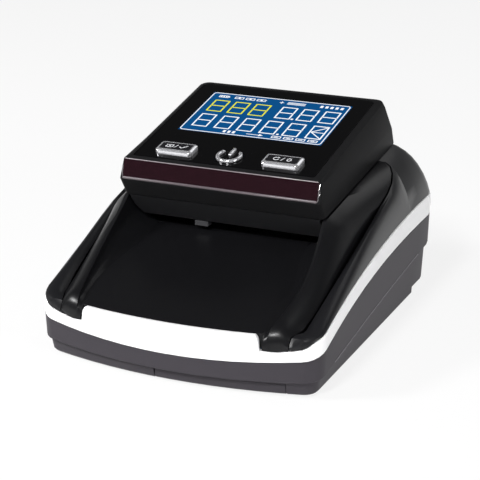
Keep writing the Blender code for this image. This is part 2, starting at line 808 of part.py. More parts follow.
def cut_screw_holes(shell):
    for name, x, y, face in screw_places():
        seat = face + SCREW_HEAD_THICK + SEAM
        tip = seat + SCREW_LENGTH + 2 * SEAM
        cut(
            shell,
            rod(f"screw_seat_{name}", SCREW_HEAD_RADIUS + SEAM, (x, y, face - FLOOR), (x, y, seat), steps=16),
            rod(f"screw_hole_{name}", SCREW_RADIUS + SEAM, (x, y, face), (x, y, tip), steps=12),
        )


def make_screws():
    profile = [
        (SCREW_LENGTH + SCREW_HEAD_THICK, 0),
        (SCREW_LENGTH + SCREW_HEAD_THICK, SCREW_RADIUS * 0.5),
        (SCREW_LENGTH, SCREW_RADIUS),
        (SCREW_HEAD_THICK, SCREW_RADIUS),
        (SCREW_HEAD_THICK, SCREW_HEAD_RADIUS),
        (0, SCREW_HEAD_RADIUS - EDGE / 2),
        (0, 0),
    ]
    for name, x, y, face in screw_places():
        turned(f"base_screw_{name}", profile, (x, y, face), "steel", toward=(0, 0, 1), steps=12)


def foot_places():
    places = []
    for row, from_slot in (("front", FOOT_FRONT_FROM_SLOT), ("rear", FOOT_REAR_FROM_SLOT)):
        y = SLOT_Y + from_slot
        edge = half_width(y - FOOT_LENGTH / 2) - TIER_STEP - TIER_DRAFT - EDGE
        x = edge - FOOT_SIDE_MARGIN
        places += [(f"{row}_left", -x, y), (f"{row}_right", x, y)]
    return places


def foot_outline(x, y, margin):
    wide = FOOT_WIDTH / 2 + margin
    long = FOOT_LENGTH / 2 + margin
    return rectangle(x - wide, y - long, x + wide, y + long, radius=wide * 0.98)


def cut_foot_recesses(shell):
    top = GROUND_GAP + FOOT_RECESS
    for name, x, y in foot_places():
        cut(shell, prism(f"foot_recess_{name}", foot_outline(x, y, SEAM), -GROUND_GAP, top, "Z"))


def make_feet():
    top = GROUND_GAP + FOOT_RECESS - SEAM
    for name, x, y in foot_places():
        rings = [
            raised(foot_outline(x, y, -EDGE / 2), 0),
            raised(foot_outline(x, y, 0), EDGE / 2),
            raised(foot_outline(x, y, 0), top),
        ]
        loft(f"foot_{name}", rings, "rubber")


# Battery bay and door.
DOOR_LEFT = DOOR_CENTRE - DOOR_WIDTH / 2
DOOR_RIGHT = DOOR_CENTRE + DOOR_WIDTH / 2
DOOR_REAR_Y = FRONT_Y + DOOR_REAR_FROM_FRONT
DOOR_TOP_Z = GROUND_GAP + DOOR_THICK
DOOR_WALL_INSET = TIER_STEP + TIER_DRAFT + WALL
BAY_LEFT = DOOR_LEFT + DOOR_LEDGE
BAY_RIGHT = DOOR_RIGHT - DOOR_LEDGE
BAY_REAR_Y = DOOR_REAR_Y - DOOR_LEDGE


BAY_FRONT_Y = bow_depth(max(abs(DOOR_LEFT), abs(DOOR_RIGHT)), DOOR_WALL_INSET) + DOOR_THICK


def add_battery_bay(shell):
    top = DOOR_TOP_Z + BATTERY_HEIGHT - DOOR_THICK
    low = FLOOR_Z - FLOOR / 2
    left, right = BAY_LEFT - BAY_WALL, BAY_RIGHT + BAY_WALL
    rear = BAY_REAR_Y + BAY_WALL
    join(
        shell,
        box("bay_wall_left", (left, BAY_FRONT_Y, low), (BAY_LEFT, rear - EDGE, top)),
        box("bay_wall_right", (BAY_RIGHT, BAY_FRONT_Y, low), (right, rear - EDGE, top)),
        box("bay_wall_rear", (left, BAY_REAR_Y, low), (right, rear, top)),
    )


def door_solid(name, margin, look=None):
    """The door's plate and front wall, grown by a margin to make the pocket that it slides in."""
    low, high = DOOR_LEFT - margin, DOOR_RIGHT + margin
    front = FRONT_Y - WALL
    bottom = TIER_STEP + TIER_DRAFT
    top = GROUND_GAP + DOOR_FACE + margin
    if look:
        rings = [
            plan_ring(bottom + EDGE, lambda y: GROUND_GAP),
            plan_ring(bottom, lambda y: GROUND_GAP + EDGE),
            plan_ring(bottom - EDGE / 2, lambda y: top),
        ]
    else:
        rings = [plan_ring(-WALL, lambda y: -GROUND_GAP), plan_ring(-WALL, lambda y: top)]
    solid = loft(name, rings, look)
    sides = box(f"{name}_sides", (low, front, -FLOOR), (high, DOOR_REAR_Y + margin, top + FLOOR))
    combine(solid, sides, "INTERSECT")
    hollow = [plan_ring(DOOR_WALL_INSET + margin, lambda y: z) for z in (DOOR_TOP_Z + margin, top + FLOOR)]
    cut(solid, loft(f"{name}_hollow", hollow))
    return solid


def cut_door_pocket(shell):
    cut(
        shell,
        door_solid("door_pocket", SEAM),
        box("bay_mouth", (BAY_LEFT, BAY_FRONT_Y, 0), (BAY_RIGHT, BAY_REAR_Y, FLOOR_Z + FLOOR)),
    )


def make_battery():
    door_solid("battery_door", 0.0, "base_grey")
    low, high = DOOR_TOP_Z + SEAM, DOOR_TOP_Z + SEAM + BATTERY_HEIGHT
    outline = rectangle(BAY_FRONT_Y + SEAM, low, BAY_REAR_Y - SEAM, high, radius=BATTERY_HEIGHT * 0.3)
    prism("battery_pack", outline, BAY_LEFT + SEAM, BAY_RIGHT - SEAM, "X", "battery_sleeve")


# Upper housing.
def shell_sections():
    """Outer and inner lines of the fairing's sections, right arm round the rear to left arm."""
    ring = plan(SEAM)
    start = len(BOW) - 1
    count = len(ring)
    corner_end = start + CORNER_STEPS
    rear_start = corner_end + SIDE_STEPS
    middle = count // 2
    right = []
    for i in range(start, middle + 1):
        x, y = ring[i]
        outer = Vector((x, y, band_top(y) + SEAM))
        thin = min((i - start) / CORNER_STEPS, 1.0)
        line = section_at(i, outer, start, corner_end, rear_start)
        right.append((line, inner_line(line, blend(0.2, 1.0, thin * thin))))
    left = [(mirrored(line), mirrored(inner)) for line, inner in reversed(right[:-1])]
    return right + left


def mirrored(line):
    return [Vector((-point.x, point.y, point.z)) for point in line]


def inner_line(line, thin):
    """The inner side of a section of the fairing, set down by the wall. At the solid nose thin is small."""
    base = line[0].z
    across = line[-1] - line[0]
    across.z = 0
    width = across.length
    across.normalize()
    wall = min(WALL, 0.3 * width)
    inner = []
    for point in line:
        share = (point - line[0]).dot(across) / width
        moved = point + across * wall * thin * (1 - 1.6 * share)
        flat = blend(base, line[-1].z, share) + EDGE / 8
        moved.z = max(blend(flat, point.z - WALL, thin), flat)
        inner.append(moved)
    inner[0].z = base
    inner[-1].z = line[-1].z
    return inner


HEAD_SEAT = HEAD_INNER + EDGE
HEAD_SEAT_REAR_Y = HEAD_REAR_Y - HEAD_WALL + EDGE / 4


def section_at(i, outer, start, corner_end, rear_start):
    """One section of the fairing: up from the band, over the lobe, down to the groove or the head."""
    if i <= corner_end:
        share = (i - start) / (corner_end - start)
        y = blend(GROOVE_FRONT_Y, NOSE_Y, share)
        x, height = groove_line(y)
        low = band_top(y) + SEAM
        inner = Vector((x + groove_gap(y), y, blend(low, height, front_rounding(y - GROOVE_FRONT_Y))))
        lobe, hump = share, 0.0
    elif i < rear_start and outer.y <= DECK_REAR_Y:
        x, height = groove_line(outer.y)
        inner = Vector((x + groove_gap(outer.y), outer.y, height))
        lobe, hump = 1.0, smooth((outer.y - SLOT_Y) / (DECK_REAR_Y - SLOT_Y))
    elif i < rear_start:
        y = min(outer.y, HEAD_SEAT_REAR_Y - HEAD_REAR_CORNER / 2)
        inner = Vector((HEAD_SEAT, y, head_base(y) - REST_GAP))
        lobe, hump = 0.0, 1.0
    else:
        turn = min((i - rear_start) / CORNER_STEPS, 1.0) * math.pi / 2
        radius = HEAD_REAR_CORNER / 2
        along = max(0, i - rear_start - CORNER_STEPS) / REAR_STEPS
        x = (HEAD_SEAT - radius + radius * math.cos(turn)) * (1 - along)
        y = HEAD_SEAT_REAR_Y - radius + radius * math.sin(turn)
        inner = Vector((x, y, head_base(y) - REST_GAP))
        lobe, hump = 0.0, 1.0
    crest_share = LOBE_INSET / max(outer.x - inner.x, LOBE_INSET * 2) if hump < 1 else 0.4
    crest = outer.lerp(inner, crest_share)
    crest.z = blend(inner.z, max(lobe_height(crest.y), inner.z), lobe)
    points = []
    for step in (0, 0.24, 0.48, 0.74, 1.0):
        turn = step * math.pi / 2
        point = outer.lerp(crest, 1 - math.cos(turn))
        point.z = blend(outer.z, crest.z, math.sin(turn))
        points.append(point)
    for step in (0.35, 0.7, 1.0):
        point = crest.lerp(inner, step)
        point.z = blend(crest.z, inner.z, 1 - math.cos(step * math.pi / 2))
        points.append(point)
    if hump > 0:
        for n, point in enumerate(points):
            turn = n / (len(points) - 1) * math.pi / 2
            share = n / (len(points) - 1)
            flat = blend(share, 1 - math.cos(turn), HUMP_FULLNESS)
            tall = blend(share, math.sin(turn), HUMP_FULLNESS)
            other = outer.lerp(inner, flat)
            other.z = blend(outer.z, inner.z, tall)
            points[n] = point.lerp(other, hump)
    lip = points[-1].copy()
    solid = max(1 - (i - start) / CORNER_STEPS, 0.0)
    lip.z = blend(lip.z - WALL - EDGE / 2, band_top(inner.y) + SEAM + EDGE / 4, solid)
    return points + [lip]


def make_upper_shell():
    lines = shell_sections()
    shell = slab("upper_shell", [line for line, _ in lines], [inner for _, inner in lines], "black_satin")
    cut(shell, note_exit("shell_exit", PATH_HEIGHT - BAND_REAR))
    for side in (-1, 1):
        name = "right" if side > 0 else "left"
        near = side * KNUCKLE_PLACE
        far = side * (KNUCKLE_PLACE + KNUCKLE_LENGTH)
        beyond = side * (KNUCKLE_PLACE + 2 * KNUCKLE_LENGTH + 4 * SEAM)
        start, end = (near, HINGE_Y, HINGE_Z), (far, HINGE_Y, HINGE_Z)
        join(shell, rod(f"shell_knuckle_{name}", KNUCKLE_RADIUS, start, end))
        cut(
            shell,
            rod(
                f"knuckle_notch_{name}",
                max(KNUCKLE_RADIUS + REST_GAP, HINGE_Y - HEAD_SEAT_REAR_Y + EDGE),
                (far, HINGE_Y, HINGE_Z),
                (beyond, HINGE_Y, HINGE_Z),
            ),
            rod(
                f"shell_pin_hole_{name}",
                HINGE_PIN_RADIUS + RUNNING_GAP,
                (near - side * EDGE, HINGE_Y, HINGE_Z),
                (beyond, HINGE_Y, HINGE_Z),
            ),
        )
    return shell


def make_hinge_pins():
    for name, side in (("left", -1), ("right", 1)):
        length = 2 * KNUCKLE_LENGTH + SEAM
        profile = [(length, 0), (length, HINGE_PIN_RADIUS), (0, HINGE_PIN_RADIUS), (0, 0)]
        turned(
            f"hinge_pin_{name}",
            profile,
            (side * KNUCKLE_PLACE, HINGE_Y, HINGE_Z),
            "steel",
            toward=(side, 0, 0),
            steps=16,
        )


# Feed tray.
LIP_BACK_INSET = WALL + SEAM
TRAY_FRONT_Y = FRONT_Y + LIP_BACK_INSET


def tray_share(y):
    """0 at the front edge of the tray, 1 at the front of the head."""
    return min(max((y - TRAY_FRONT_Y) / (HEAD_FRONT_Y - TRAY_FRONT_Y), 0.0), 1.0)


def tray_section(y, groove_y):
    """Half a section of the tray, middle to groove: x, height, and x and drop of its inner side."""
    share = tray_share(y)
    floor = blend(LIP_HEIGHT, PATH_HEIGHT, min((y - TRAY_FRONT_Y) / (SLOT_Y - TRAY_FRONT_Y), 1.0))
    if y < HEAD_FRONT_Y:
        top = blend(PILLAR_HEIGHT, HEAD_FRONT_Z - REST_GAP, 0.42 * share + 0.58 * share * share)
    else:
        top = head_base(y) - REST_GAP
    wall = HALF_PATH + TRAY_FLARE * math.sin(math.pi * share) - PILLAR_STEP * (1 - share) ** 2
    fillet = min(TRAY_FILLET * (0.2 + 0.8 * share), 0.75 * (top - floor))
    if y > GUIDE_FRONT_Y:
        fillet = TRAY_SKIN
    edge = min(TRAY_SKIN * 0.6, (top - floor - fillet) * 0.8)
    groove_x, groove_z = groove_line(groove_y)
    groove_x -= groove_gap(groove_y)
    crest = max(wall + edge + SEAM, min(HEAD_HALF + SEAM, groove_x - EDGE))
    ridge = groove_x - wall
    skin = min(TRAY_SKIN, ridge * 0.4)
    steep = min((top - groove_z) / ridge, 2.0)
    base = wall - fillet
    notch = min(LIP_WIDTH / 2 + 1.5 * SEAM, base - 1.5 * SEAM)
    points = [(0, floor), (base * 0.6, floor), (notch, floor), (base, floor)]
    inner = [(x, TRAY_SKIN) for x, _ in points]
    for step in (0.3, 0.6, 0.85, 1.0):
        turn = step * math.pi / 2
        points.append((base + fillet * math.sin(turn), floor + fillet * (1 - math.cos(turn))))
        inner.append((points[-1][0] + skin * math.sin(turn), TRAY_SKIN))
    points += [(wall + edge * 0.25, top - edge * 0.3), (wall + edge, top), (crest, top)]
    for step in (0.3, 0.55, 0.8, 1.0):
        turn = step * math.pi / 2
        across = blend(step, math.sin(turn), 0.5)
        down = blend(step, 1 - math.cos(turn), 0.5)
        points.append((blend(crest, groove_x, across), blend(top, groove_z, down)))
    points.append((groove_x, groove_z - TRAY_SKIN - EDGE / 2))
    for x, _ in points[len(inner) :]:
        share = (x - wall) / ridge
        drop = TRAY_SKIN * (1 + steep * math.sin(math.pi * share))
        inner.append((blend(wall + skin, groove_x - skin, share), drop))
    return [point + back for point, back in zip(points, inner)]


NOTCH_POINT = 2
FLOOR_SLOPE = (PATH_HEIGHT - LIP_HEIGHT) / (SLOT_Y - TRAY_FRONT_Y)


def tray_rows(distance):
    """The upper and lower row of points across the tray at a distance behind its front edge."""
    upper, lower = [], []
    along = distance / (DECK_REAR_Y - TRAY_FRONT_Y)
    section = tray_section(TRAY_FRONT_Y + distance, blend(GROOVE_FRONT_Y, DECK_REAR_Y, along))
    rounding = front_rounding(distance)
    for n, (x, z, inner_x, drop) in enumerate(section):
        beside_lip = n > NOTCH_POINT
        front = bow_depth(min(x, FRONT_CORNER_X), SEAM if beside_lip else LIP_BACK_INSET)
        if x > FRONT_CORNER_X:
            front = FRONT_CORNER_Y - chord(FRONT_CORNER - SEAM, x - FRONT_CORNER_X)
        y = blend(front, DECK_REAR_Y, along)
        if n == NOTCH_POINT + 1:
            inside = blend(bow_depth(x, LIP_BACK_INSET), DECK_REAR_Y, along)
            z -= FLOOR_SLOPE * (inside - y)
        low = band_top(y) + SEAM
        if beside_lip:
            z = max(blend(low, z, rounding), low + EDGE / 2)
        bottom = low if distance < LIP_BACK_INSET else z - drop
        if n == len(section) - 1:
            z = low + EDGE / 8 if distance < LIP_BACK_INSET else upper[-1].z - TRAY_SKIN - EDGE / 2
            bottom = min(low, z) if distance < LIP_BACK_INSET else z
            inner_x += EDGE / 4
        upper.append(Vector((x, y, z)))
        lower.append(Vector((inner_x, y, bottom)))
    return tuple(mirrored(half[:0:-1]) + half for half in (upper, lower))


def make_tray_deck():
    to_head = HEAD_FRONT_Y - TRAY_FRONT_Y
    to_slot = SLOT_Y - TRAY_FRONT_Y
    to_guide = GUIDE_FRONT_Y - TRAY_FRONT_Y
    to_rear = DECK_REAR_Y - TRAY_FRONT_Y
    steps = [PILLAR_ROUND * share for share in (0, 0.12, 0.24, 0.42, 0.7, 1.2)]
    steps += [blend(1.2 * PILLAR_ROUND, to_head, share) for share in (0.2, 0.4, 0.6, 0.8, 1.0)]
    steps += [to_slot, to_guide, to_guide + EDGE]
    behind = [(y - GROOVE_FRONT_Y) / (DECK_REAR_Y - GROOVE_FRONT_Y) for y in SIDE if y < DECK_REAR_Y]
    steps += [to_rear * share for share in behind if to_rear * share > to_guide + 2 * EDGE]
    rows = [tray_rows(step) for step in steps]
    deck = slab("tray_deck", [upper for upper, _ in rows], [lower for _, lower in rows], "black_satin")
    under = PATH_HEIGHT + REST_GAP
    cut(
        deck,
        box(
            "deck_relief",
            (-PLATE_OUT, GUIDE_FRONT_Y - SEAM, PATH_HEIGHT - GUIDE_PLATE - TRAY_FILLET),
            (PLATE_OUT, DECK_REAR_Y + WALL, under),
        ),
        rod(
            "gear_relief",
            GEAR_MODULE * (SHAFT_TEETH / 2 + 1) + SWING_GAP,
            (GEAR_IN - REST_GAP, FRONT_SHAFT_Y, SHAFT_Z),
            (GEAR_OUT + REST_GAP, FRONT_SHAFT_Y, SHAFT_Z),
        ),
    )
    return deck


# Drive frame, guides and sensors.
SENSOR_Y = IDLER_Y
MAGNET_Y = FRONT_SHAFT_Y + MAGNET_FROM_ROLLER
GUIDE_REAR_Y = REAR_Y - WALL - 2 * SEAM
ROLLER_PLACES = (("front", FRONT_SHAFT_Y), ("rear", REAR_SHAFT_Y))


def make_lower_guide():
    low = PATH_HEIGHT - GUIDE_PLATE
    holes = []
    reach = chord(ROLLER_RADIUS, ROLLER_RADIUS - ROLLER_PROUD - GUIDE_PLATE) + SWING_GAP
    for _, y in ROLLER_PLACES:
        for side in (-1, 1):
            x = side * ROLLER_SPACING / 2
            wide = ROLLER_WIDTH / 2 + SWING_GAP
            holes.append(rectangle(x - wide, y - reach, x + wide, y + reach))
    half, wide = SENSOR_LENGTH / 2, SENSOR_WIDTH / 2
    holes.append(rectangle(-half, SENSOR_Y - wide, half, SENSOR_Y + wide))
    half, wide = MAGNET_LENGTH / 2, MAGNET_WIDTH / 2
    holes.append(rectangle(-half, MAGNET_Y - wide, half, MAGNET_Y + wide))
    outline = rectangle(-PLATE_OUT, GUIDE_FRONT_Y, PLATE_OUT, GUIDE_REAR_Y)
    sheet("lower_guide", [outline] + holes, GUIDE_PLATE, "black_satin", (0, 0, low + GUIDE_PLATE / 2))


def make_sensor(name, y, length, width, face_z, back_z, look):
    """A sensor bar in a slot of a guide, with a flange behind it. face_z and back_z bound the slot."""
    toward = 1 if back_z > face_z else -1
    half, wide = length / 2 - SEAM, width / 2 - SEAM
    flange_low = back_z + toward * SEAM
    flange_high = flange_low + toward * SENSOR_FLANGE
    out = SENSOR_FLANGE
    inner = rectangle(-half, y - wide, half, y + wide)
    flange = rectangle(-half - out / 2, y - wide - out, half + out / 2, y + wide + out)
    rings = [
        raised(inner, face_z + toward * SEAM / 2),
        raised(inner, flange_low),
        raised(flange, flange_low),
        raised(flange, flange_high),
    ]
    loft(name, rings, look)


def make_sensors():
    low = PATH_HEIGHT - GUIDE_PLATE
    make_sensor("lower_sensor_window", SENSOR_Y, SENSOR_LENGTH, SENSOR_WIDTH, PATH_HEIGHT, low, "window")
    make_sensor("magnetic_head", MAGNET_Y, MAGNET_LENGTH, MAGNET_WIDTH, PATH_HEIGHT, low, "steel")


def make_side_plates():
    top = PATH_HEIGHT - GUIDE_PLATE - SEAM
    foot = PLATE_FOOT_Z + SEAM
    step = REAR_FLOOR_Z + SEAM
    outline = [
        (SIDE_PLATE_FRONT_Y, foot),
        (PLINTH_REAR_Y, foot),
        (PLINTH_REAR_Y, step),
        (SIDE_PLATE_REAR_Y, step),
        (SIDE_PLATE_REAR_Y, top),
        (SIDE_PLATE_FRONT_Y, top),
    ]
    bush_hole = SHAFT_RADIUS + RUNNING_GAP + BUSH_WALL + SEAM
    holes = [circle(y, SHAFT_Z, bush_hole, 16) for _, y in ROLLER_PLACES]
    drive_holes = [
        circle(IDLER_Y, SHAFT_Z, IDLER_PIN_RADIUS + SEAM, 16),
        circle(IDLER_Y, MOTOR_Z, MOTOR_RADIUS / 3 + SEAM, 16),
    ]
    # The sheet is drawn in depth and height, then turned to stand across X.
    stand = (math.pi / 2, 0, math.pi / 2)
    middle = (PLATE_IN + PLATE_OUT) / 2
    sheet("left_side_plate", [outline] + holes, PLATE_THICK, "steel", (-middle, 0, 0), stand)
    sheet("right_side_plate", [outline] + holes + drive_holes, PLATE_THICK, "steel", (middle, 0, 0), stand)


def make_bushes():
    bore = SHAFT_RADIUS + RUNNING_GAP
    body = bore + BUSH_WALL
    flange = body + BUSH_FLANGE
    length = PLATE_THICK + 2 * SEAM
    profile = [
        (length, bore),
        (length, body),
        (0, body),
        (0, flange),
        (-BUSH_FLANGE_THICK, flange),
        (-BUSH_FLANGE_THICK, bore),
    ]
    for row, y in ROLLER_PLACES:
        for name, side in (("left", -1), ("right", 1)):
            place_at = (side * (PLATE_IN - SEAM), y, SHAFT_Z)
            turned(f"{row}_{name}_bush", profile, place_at, "bronze", toward=(side, 0, 0), steps=16)


def make_drive_rollers():
    shaft_end = GEAR_OUT + EDGE
    shaft = [
        (shaft_end, 0),
        (shaft_end, SHAFT_RADIUS - EDGE / 2),
        (shaft_end - EDGE / 2, SHAFT_RADIUS),
        (-PLATE_OUT - EDGE, SHAFT_RADIUS),
        (-PLATE_OUT - EDGE, 0),
    ]
    half = ROLLER_WIDTH / 2
    bore = SHAFT_RADIUS + SEAM
    roller = [
        (half, bore),
        (half, ROLLER_RADIUS - EDGE),
        (half - EDGE, ROLLER_RADIUS),
        (-half + EDGE, ROLLER_RADIUS),
        (-half, ROLLER_RADIUS - EDGE),
        (-half, bore),
    ]
    for row, y in ROLLER_PLACES:
        turned(f"{row}_drive_shaft", shaft, (0, y, SHAFT_Z), "steel", steps=16)
        for name, side in (("left", -1), ("right", 1)):
            turned(f"{row}_roller_{name}", roller, (side * ROLLER_SPACING / 2, y, SHAFT_Z), "rubber")


def gear_outline(teeth, turn):
    """Straight-flanked teeth. A tooth points along the drawn +X turned by turn."""
    pitch = GEAR_MODULE * teeth / 2
    root = pitch - 1.25 * GEAR_MODULE
    tip = pitch + 0.9 * GEAR_MODULE
    slope = math.tan(math.radians(20))
    half_pitch = (math.pi * GEAR_MODULE / 2 - BACKLASH) / 2
    points = []
    for tooth in range(teeth):
        middle = turn + math.tau * tooth / teeth
        half_root = (half_pitch + slope * (pitch - root)) / root
        half_tip = (half_pitch - slope * (tip - pitch)) / tip
        flanks = ((root, -half_root), (tip, -half_tip), (tip, half_tip), (root, half_root))
        for radius, offset in flanks:
            points.append((radius * math.cos(middle + offset), radius * math.sin(middle + offset)))
    return points


def make_gears():
    # The gear is drawn in depth and height, like the side plates.
    stand = (math.pi / 2, 0, math.pi / 2)
    x = (GEAR_IN + GEAR_OUT) / 2
    bore = SHAFT_RADIUS + SEAM
    for row, y in ROLLER_PLACES:
        outlines = [gear_outline(SHAFT_TEETH, 0), circle(0, 0, bore, 16)]
        sheet(f"{row}_drive_gear", outlines, GEAR_WIDTH, "nylon", (x, y, SHAFT_Z), stand)
    bore = IDLER_PIN_RADIUS + RUNNING_GAP
    outlines = [gear_outline(IDLER_TEETH, math.pi / IDLER_TEETH), circle(0, 0, bore, 16)]
    sheet("idler_gear", outlines, GEAR_WIDTH, "nylon", (x, IDLER_Y, SHAFT_Z), stand)
    outlines = [gear_outline(PINION_TEETH, math.pi / 2), circle(0, 0, MOTOR_SHAFT_RADIUS + SEAM, 12)]
    sheet("motor_pinion", outlines, GEAR_WIDTH, "bronze", (x, IDLER_Y, MOTOR_Z), stand)
    head = IDLER_PIN_RADIUS + RIVET_HEAD
    profile = [
        (GEAR_OUT + SEAM + EDGE, 0),
        (GEAR_OUT + SEAM + EDGE, head),
        (GEAR_OUT + SEAM, head),
        (GEAR_OUT + SEAM, IDLER_PIN_RADIUS),
        (PLATE_IN - SEAM, IDLER_PIN_RADIUS),
        (PLATE_IN - SEAM, head),
        (PLATE_IN - SEAM - EDGE, head),
        (PLATE_IN - SEAM - EDGE, 0),
    ]
    turned("idler_pin", profile, (0, IDLER_Y, SHAFT_Z), "steel", steps=16)


def make_motor():
    face = PLATE_IN - SEAM
    boss = MOTOR_RADIUS / 3
    bore = MOTOR_SHAFT_RADIUS + RUNNING_GAP
    nose = PLATE_OUT + SEAM
    back = face - MOTOR_LENGTH
    socket = face - MOTOR_LENGTH / 4
    profile = [
        (nose, bore),
        (nose, boss),
        (face, boss),
        (face, MOTOR_RADIUS - EDGE),
        (face - EDGE, MOTOR_RADIUS),
        (back + EDGE, MOTOR_RADIUS),
        (back, MOTOR_RADIUS - EDGE),
        (back, boss),
        (back - EDGE * 2, boss),
        (back - EDGE * 2, EDGE),
        (socket, EDGE),
        (socket, bore),
    ]
    turned("drive_motor", profile, (0, IDLER_Y, MOTOR_Z), "steel")
    tip = GEAR_OUT + EDGE
    end = socket + SEAM
    shaft = [(tip, 0), (tip, MOTOR_SHAFT_RADIUS), (end, MOTOR_SHAFT_RADIUS), (end, 0)]
    turned("motor_shaft", shaft, (0, IDLER_Y, MOTOR_Z), "steel", steps=12)


# Electronics in the base.
BOARD_CENTRE_X = BOARD_WIDTH / 2 + BOARD_SIDE_MARGIN - HALF_PATH
BOARD_REAR_Y = REAR_Y - BOARD_REAR_MARGIN
BOARD_FRONT_Y = BOARD_REAR_Y - BOARD_LENGTH
BOARD_TOP_Z = BOARD_HEIGHT + BOARD_THICK
POST_MARGIN = POST_RADIUS * 1.6


def add_board_posts(shell):
    for name, side in (("left", -1), ("right", 1)):
        x = BOARD_CENTRE_X + side * (BOARD_WIDTH / 2 - POST_MARGIN)
        for row, y in (("front", BOARD_FRONT_Y + POST_MARGIN), ("rear", REAR_STEP_Y)):
            low, high = (x, y, FLOOR_Z - FLOOR / 2), (x, y, BOARD_HEIGHT - SEAM)
            join(shell, rod(f"board_post_{row}_{name}", POST_RADIUS, low, high, steps=12))


JACK_Z = BOARD_TOP_Z + SEAM + JACK_BODY_RADIUS
PORT_Z = BOARD_TOP_Z + SEAM


def cut_sockets(shell):
    inside, outside = REAR_Y - 4 * WALL, REAR_Y + WALL
    jack = JACK_RADIUS + SEAM
    half = PORT_WIDTH / 2 + SEAM
    cut(
        shell,
        rod("jack_hole", jack, (JACK_X, inside, JACK_Z), (JACK_X, outside, JACK_Z)),
        box(
            "port_hole",
            (PORT_X - half, inside, PORT_Z - SEAM),
            (PORT_X + half, outside, PORT_Z + PORT_HEIGHT + SEAM),
        ),
    )


def make_electronics():
    half = BOARD_WIDTH / 2
    left, right = BOARD_CENTRE_X - half, BOARD_CENTRE_X + half
    outline = rectangle(left, BOARD_FRONT_Y, right, BOARD_REAR_Y, BOARD_CORNER)
    prism("main_board", outline, BOARD_HEIGHT, BOARD_TOP_Z, "Z", "board_green")
    shoulder = WALL + SEAM + EDGE
    profile = [
        (-JACK_BORE_RADIUS, 0),
        (-JACK_BORE_RADIUS, JACK_PIN_RADIUS),
        (-JACK_LENGTH * 0.7, JACK_PIN_RADIUS),
        (-JACK_LENGTH * 0.7, JACK_BORE_RADIUS),
        (0, JACK_BORE_RADIUS),
        (0, JACK_RADIUS),
        (-shoulder, JACK_RADIUS),
        (-shoulder, JACK_BODY_RADIUS),
        (-JACK_LENGTH, JACK_BODY_RADIUS),
        (-JACK_LENGTH, 0),
    ]
    turned("power_jack", profile, (JACK_X, REAR_Y, JACK_Z), "black_satin", toward=(0, 1, 0))
    low_x, high_x = PORT_X - PORT_WIDTH / 2, PORT_X + PORT_WIDTH / 2
    rear = REAR_Y - SEAM
    low, high = (low_x, rear - PORT_LENGTH, PORT_Z), (high_x, rear, PORT_Z + PORT_HEIGHT)
    port = box("data_port", low, high, "steel")
    mouth = box(
        "port_mouth",
        (low_x + PORT_SHELL, rear - PORT_LENGTH * 0.7, PORT_Z + PORT_SHELL),
        (high_x - PORT_SHELL, rear + WALL, PORT_Z + PORT_HEIGHT - PORT_SHELL),
    )
    cut(port, mouth)
    base = BOARD_TOP_Z + SEAM
    profile = [
        (BUZZER_HEIGHT, 0),
        (BUZZER_HEIGHT, BUZZER_RADIUS - EDGE),
        (BUZZER_HEIGHT - EDGE, BUZZER_RADIUS),
        (0, BUZZER_RADIUS),
        (0, 0),
    ]
    buzzer_x = BOARD_CENTRE_X + half - BUZZER_RADIUS * 2
    buzzer_y = BOARD_FRONT_Y + BOARD_LENGTH * 0.3
    turned("buzzer", profile, (buzzer_x, buzzer_y, base), "black_satin", toward=(0, 0, 1), steps=16)


# Head housing.
def panel_height(y):
    return PANEL_Z + (y - PANEL_Y) * math.tan(PANEL_TILT)


def head_outline(half, front, rear, inset=0.0):
    """The head in plan: corners round at the front and rounder at the rear, less so as it is drawn in."""
    front_radius = max(HEAD_FRONT_CORNER - inset, EDGE)
    rear_radius = max(HEAD_REAR_CORNER - inset, EDGE)
    right = [(0, front), (half * 0.5, front)]
    for i in range(CORNER_STEPS + 1):
        turn = math.pi / 2 * (i / CORNER_STEPS - 1)
        across, deep = math.cos(turn) - 1, math.sin(turn) + 1
        right.append((half + front_radius * across, front + front_radius * deep))
    side_start, side_end = front + front_radius, rear - rear_radius
    right += [(half, blend(side_start, side_end, share)) for share in (0.25, 0.5, 0.75)]
    for i in range(CORNER_STEPS + 1):
        turn = math.pi / 2 * i / CORNER_STEPS
        across, deep = math.cos(turn) - 1, math.sin(turn) - 1
        right.append((half + rear_radius * across, rear + rear_radius * deep))
    right += [(half * 0.5, rear), (0, rear)]
    return right + [(-x, y) for x, y in reversed(right[1:-1])]


def head_ring(half, front, rear, height, inset=0.0):
    """The head's outline, each point at the height that the height function gives for its depth."""
    return [(x, y, height(y)) for x, y in head_outline(half, front, rear, inset)]


def edge_drop(y, share):
    """How far an edge ring lies under the panel plane: little at the crisp front, more at the sides."""
    turn = smooth((y - PANEL_Y) / (2 * HEAD_FRONT_CORNER))
    return share * blend(HEAD_FRONT_ROUND, HEAD_SIDE_ROUND, turn)


RIM_HALF = HEAD_HALF - HEAD_SIDE_ROUND * 0.9 - RIM_WIDTH
RIM_FRONT_Y = PANEL_Y + HEAD_FRONT_ROUND + RIM_WIDTH
RIM_REAR_Y = PANEL_REAR_Y - RIM_WIDTH
FASCIA_SLOPE = FASCIA_LEAN / FASCIA_HEIGHT
WAIST_REAR_Y = blend(HEAD_REAR_Y, PANEL_REAR_Y, 0.25)


def waist_height(y):
    rear = blend(HEAD_REAR_Z, panel_height(PANEL_REAR_Y), 0.35)
    return blend(FASCIA_Z, rear, (y - FASCIA_Y) / (WAIST_REAR_Y - FASCIA_Y))


